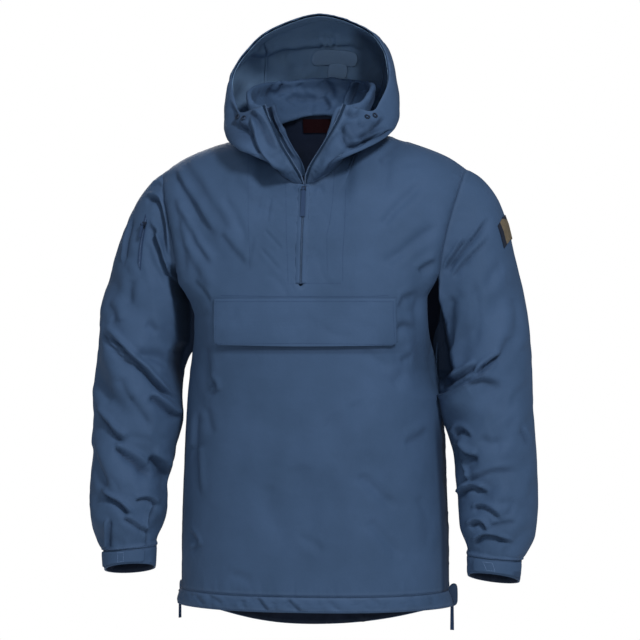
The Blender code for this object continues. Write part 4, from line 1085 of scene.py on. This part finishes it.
# Troughs as seen from inside, so they stand proud of the outer face
HOOD_CHANNEL = [
    (-100, 143, -81, 153, -51, 159, 12, 164, 50, 160, 4.5, -4.6),
    (-96, 156, -70, 166, -40, 172, 13, 176, 50, 170, 8, 4.0), (-4, 182, -2, 170, -3, 160, 3.5, -4),
    (6, 183, 8, 171, 6, 161, 3.5, -4), (17, 182, 18, 171, 16, 162, 3.5, -4),
    (-60, 150, -52, 140, -54, 126, 9, -3), (-20, 150, -14, 138, -22, 120, 9, 3),
    (60, 176, 84, 150, 96, 118, 10, -4),
]
HOOD_BACK_CREASES = [
    (-90, 150, -60, 120, -20, 110, 12, 2.4), (88, 148, 64, 118, 30, 106, 12, 2.4),
    (-120, 90, -96, 70, -70, 66, 10, 2.4), (118, 92, 94, 72, 66, 68, 10, 2.4),
    (-40, 90, 0, 82, 44, 92, 12, 1.8),
]
# Painted shade under the hood's front rolls on both sides; on the lining, painted shade high on the
# wearer's left, lower on the right, and over a spot in a fold low on the left roll.
for node, seed, flat in (("hood_centre", 71, (0.2, 0.3)), ("hood_left", 72, (0.2, 0.26)),
                         ("hood_right", 73, (0.2, 0.26))):
    small = crumples((-145, -75), (145, 90), 40, 40, 70, (14, 40), (4, 7), (0.3, 1.1), seed)
    rear = crumples((-140, 40), (140, 200), 40, 60, 70, (18, 50), (5, 9), (0.3, 1.2), seed + 5)
    cloth_piece(node, 1.4, [
        (hood_rolls, HOOD_ROLL_CREASES),
        (hood_inside, HOOD_CHANNEL),
        (facing_back, HOOD_BACK_CREASES),
        (hood_rolls, small),
        (facing_back, rear),
    ], flat, "draped", ["collar", "front", "back"], LIT_HOOD_LINING, swell=0.8,
        shades=[(hood_rolls, -108, 16, 27, 36, 0.55), (hood_rolls, 96, 2, 40, 20, 0.45)],
        inside=[(turned_away, 92, 128, 48, 84, 1.1), (turned_away, -118, 62, 34, 52, 1.0),
                (everywhere, 61, -25, 20, 20, 1.2)],
        hard=["hood_eyelet_1", "hood_eyelet_2", "hood_eyelet_3", "hood_eyelet_4"])
# The facing takes painted shade on the wearer's right, where light falls into the open hood.
trim_piece("hood_facing", LIT_HOOD_LINING,
           inside=[(everywhere, -120, 46, 20, 44, 1.3)], under=["hood_left", "hood_right"])
trim_piece("hood_strap", LIT_STRAP_CLOTH)
trim_piece("hood_strap_end", LIT_STRAP_CLOTH)


# ---- Kangaroo pocket flap ----
# A wide flap of doubled cloth over the chest pocket, sewn on along its top edge. One row of
# stitches runs round it, and nothing is printed on it.
cloth_piece("pocket_flap", 2.2, [
    (facing_front, crumples((-140, -335), (150, -265), 18, 10, 40, (20, 60), (6, 10), (0.2, 0.7), 81)),
], (0.3, 0.078), "laid", ["front"], swell=0.5, pucker=0.2, seam_depth=0.0, tuck=0.0)
rows = rim_rows("pocket_flap", 5, lambda place: True)
lay_stitches("stitches_flap", rows, 4)


# ---- Zips, pulls and small metal ----
# Coil zips on dark woven tape, with die-cast sliders and cloth pulls, and painted brass eyelets.
# The moulded sleeve badge and the satin neck label are blank.
TAPE_FINISH = plain_finish("woven polyester zip tape", "#1D3149", "#142336", 0.8, 0.0, 0.0012, 0.0003)
TAB_FINISH = plain_finish("woven pull tab", "#33486A", "#253651", 0.7, 0.0, 0.0012, 0.0003)
TEETH_FINISH = plain_finish("moulded nylon coil", "#7088AA", "#4A6285", 0.5, 0.0, 0.0008, 0.0001)
CAST_FINISH = plain_finish("painted die-cast zinc", "#39465C", "#222B3C", 0.42, 0.6, 0.002, 0.0001)
BADGE_FINISH = plain_finish("moulded rubber badge", "#7A705E", "#574E40", 0.6, 0.0, 0.006, 0.0004)
LABEL_FINISH = plain_finish("woven satin label", "#280E14", "#12080C", 0.5, 0.0, 0.0008, 0.0002)


def finish_node(node, material):
    """Give a CAD node that keeps its shape its finish."""
    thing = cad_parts[node]
    for slot in thing.material_slots:
        slot.material = material


for node in ("zip_tape", "zip_tape_left", "zip_tape_right", "side_zip_left", "side_zip_right"):
    finish_node(node, TAPE_FINISH)
for node in ("sleeve_zip", "zip_pull", "side_left_pull", "side_right_pull", "sleeve_pull"):
    finish_node(node, TAB_FINISH)
for node in ("zip_slider", "side_left_slider", "side_right_slider", "sleeve_slider",
             "hood_eyelet_1", "hood_eyelet_2", "hood_eyelet_3", "hood_eyelet_4"):
    finish_node(node, CAST_FINISH)
# The badge is left plain: a dark moulded border round a pale field
BADGE_MIDDLE = (0.314, -0.021, -0.1525)
tree = BADGE_FINISH.node_tree
place = add_node(tree, "ShaderNodeTexCoord")
from_middle = add_node(tree, "ShaderNodeVectorMath", {"operation": "SUBTRACT"},
                       {0: place.outputs["Object"], 1: BADGE_MIDDLE})
apart = add_node(tree, "ShaderNodeVectorMath", {"operation": "ABSOLUTE"}, {0: from_middle.outputs[0]})
split = add_node(tree, "ShaderNodeSeparateXYZ", None, {0: apart.outputs[0]})
wide = add_node(tree, "ShaderNodeMath", {"operation": "MAXIMUM"},
                {0: split.outputs["Y"], 1: split.outputs["Z"]})
border = add_node(tree, "ShaderNodeMapRange", None,
                  {"Value": wide.outputs[0], "From Min": 0.0195, "From Max": 0.0205})
base = tree.nodes["Principled BSDF"].inputs["Base Color"]
edged = add_node(tree, "ShaderNodeMix", {"data_type": "RGBA"},
                 {"Factor": border.outputs[0], 6: base.links[0].from_socket, 7: linear("#232A38")})
tree.links.new(edged.outputs[2], base)
finish_node("sleeve_badge", BADGE_FINISH)
finish_node("neck_label", LABEL_FINISH)


def narrow_sheet(name, rows, order, levels, groups, thickness, flat, held, rests, **settings):
    """A narrow sheet of shell cloth through rows of places in mm; order turns its faces outward."""
    cloth = bmesh.new()
    rows = [[cloth.verts.new(Vector(place) / MM) for place in row] for row in rows]
    for upper, lower in zip(rows, rows[1:]):
        for k in range(len(upper) - 1):
            corners = (upper[k], upper[k + 1], lower[k + 1], lower[k])
            cloth.faces.new([corners[n] for n in order])
    lay_grid(cloth)
    mesh = refined(cloth, levels)
    work_cloth(mesh, groups, seam_depth=0, **settings)
    mesh.materials.append(SHELL_CLOTH)
    piece = add_object(name, mesh)
    add_wall(piece, thickness)
    declare(piece)


# Both lips of the slit fold back to 3 mm apart over the closed coil
tape = face_tree(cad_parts["zip_tape"].data)
LIP_SECTION = ((9.5, 0.2), (7.6, -0.6), (5.4, -1.3), (3.4, -1.5), (2.0, -1.2), (1.5, -0.5), (2.2, 0.3))
SLIT_TOP, SLIT_END = -82, -238
for side, word, order in ((-1, "right", (3, 2, 1, 0)), (1, "left", (0, 1, 2, 3))):
    rows = []
    for z in range(SLIT_TOP, SLIT_END - 4, -6):
        depth = laid_on(tape, (0, -AWAY, max(z, SLIT_END)), (0, 1, 0))[0].y - 0.8
        rows.append([(side * x, depth + y, z) for x, y in LIP_SECTION])
    narrow_sheet("zip_lip_" + word, rows, order, 1, [], 0.6, (0.012, 0.158), "laid", ["zip_tape"],
                 swell=0.25, grain=12.0)

# Coil teeth: two meshed rows below the slider, one on each open edge above it
meshed = []
for x, top in ((-0.75, -94), (0.75, -94.7)):
    meshed.append([laid_on(tape, (x, -AWAY, z), (0, 1, 0)) for z in np.linspace(top, SLIT_END, 40)])
lay_repeats("teeth_closed", meshed, 1.5, (0.6, 1.1, 0.45), 0.0, 5, TEETH_FINISH)
# Down the zip's open edge on the wearer's left, above the slider (mm)
UPPER_EDGE = [
    (63.2, -131.4, 47.4), (60.2, -133.6, 39.1), (57.1, -135.3, 30.5), (53.0, -136.9, 20.9),
    (47.8, -138.4, 10.5), (41.4, -140.1, -1.2), (34.0, -141.8, -14.1), (26.3, -142.9, -27.2),
    (17.6, -144.4, -40.4), (9.7, -142.1, -53.1), (3.4, -133.3, -65.6), (1.0, -123.6, -78.2),
]
edges = []
for side, shift in ((-1, -1.0), (1, 0.0)):
    # high up, the edge on the wearer's right lies a little further in
    edges.append([(Vector((side * (x + shift * (x > 38) * (x - 38) / 16), y - 0.4, z)), Vector((0, -1, 0)))
                  for x, y, z in UPPER_EDGE])
lay_repeats("teeth_open", edges, 2.0, (0.8, 1.5, 0.6), 0.0, 6, TEETH_FINISH)

# A folded guard of shell cloth stands behind the zip on the wearer's right. It takes painted shade all
# over, darkest in a band running down from its top.
GUARD_SECTION = ((-1.5, 2.0), (2.0, 5.5), (6.5, 6.5), (11.0, 5.5), (13.5, 3.0), (13.0, 5.5), (7.5, 9.0))
GUARD_CREASES = [(-58, 46, -50, 20, -38, -4, 4, 6), (-42, 2, -30, -20, -18, -40, 3.5, 5)]
GUARD_SHADES = [
    (everywhere, -30, 0, 120, 160, 0.6), (everywhere, -62, 42, 11, 20, 1.6),
    (everywhere, -52, 24, 10, 20, 1.4), (everywhere, -42, 6, 9, 18, 1.1),
]
rows = []
for x, y, z in UPPER_EDGE[:-1]:
    narrow = min(1.0, (z - SLIT_TOP) / 40)
    rows.append([(-x + wide * narrow + 1.0, y + 2.0 + back, z - 1.5) for wide, back in GUARD_SECTION])
narrow_sheet("zip_guard", rows, (0, 3, 2, 1), 2, [(facing_front, GUARD_CREASES)], 0.8, (0.022, 0.155),
             "hung", ["zip_tape_right"], swell=0.7, grain=16.0, shades=GUARD_SHADES)

# Teeth of the side zips, and of the small zip on the wearer's right sleeve
# x and z down a side zip, then places up the sleeve zip (mm)
SIDE_EDGE = [
    (212.0, -473), (213.4, -501.5), (214.7, -530), (216.0, -558.5), (217.3, -587), (218.4, -615.5),
    (219.3, -644), (219.8, -672.5), (220.0, -701), (220.1, -729.5), (220.4, -757),
]
SLEEVE_EDGE = [
    (-277.2, -85.4, -208.4), (-276.4, -83.9, -194.2), (-276.1, -81.3, -179.8), (-274.6, -78.4, -166.0),
    (-273.0, -75.2, -153.9), (-271.2, -72.1, -142.0), (-269.3, -69.2, -129.8),
]
sides = [[(Vector((side * (x + 0.2), 0, z)), Vector((side, 0, 0))) for x, z in SIDE_EDGE]
         for side in (-1, 1)]
lay_repeats("teeth_sides", sides, 2.0, (0.7, 1.6, 0.6), 0.0, 7, TEETH_FINISH)
row = [(Vector(place), Vector((-0.5, -0.86, 0))) for place in SLEEVE_EDGE]
lay_repeats("teeth_sleeve", [row], 2.0, (0.6, 1.3, 0.6), 0.0, 8, TEETH_FINISH)
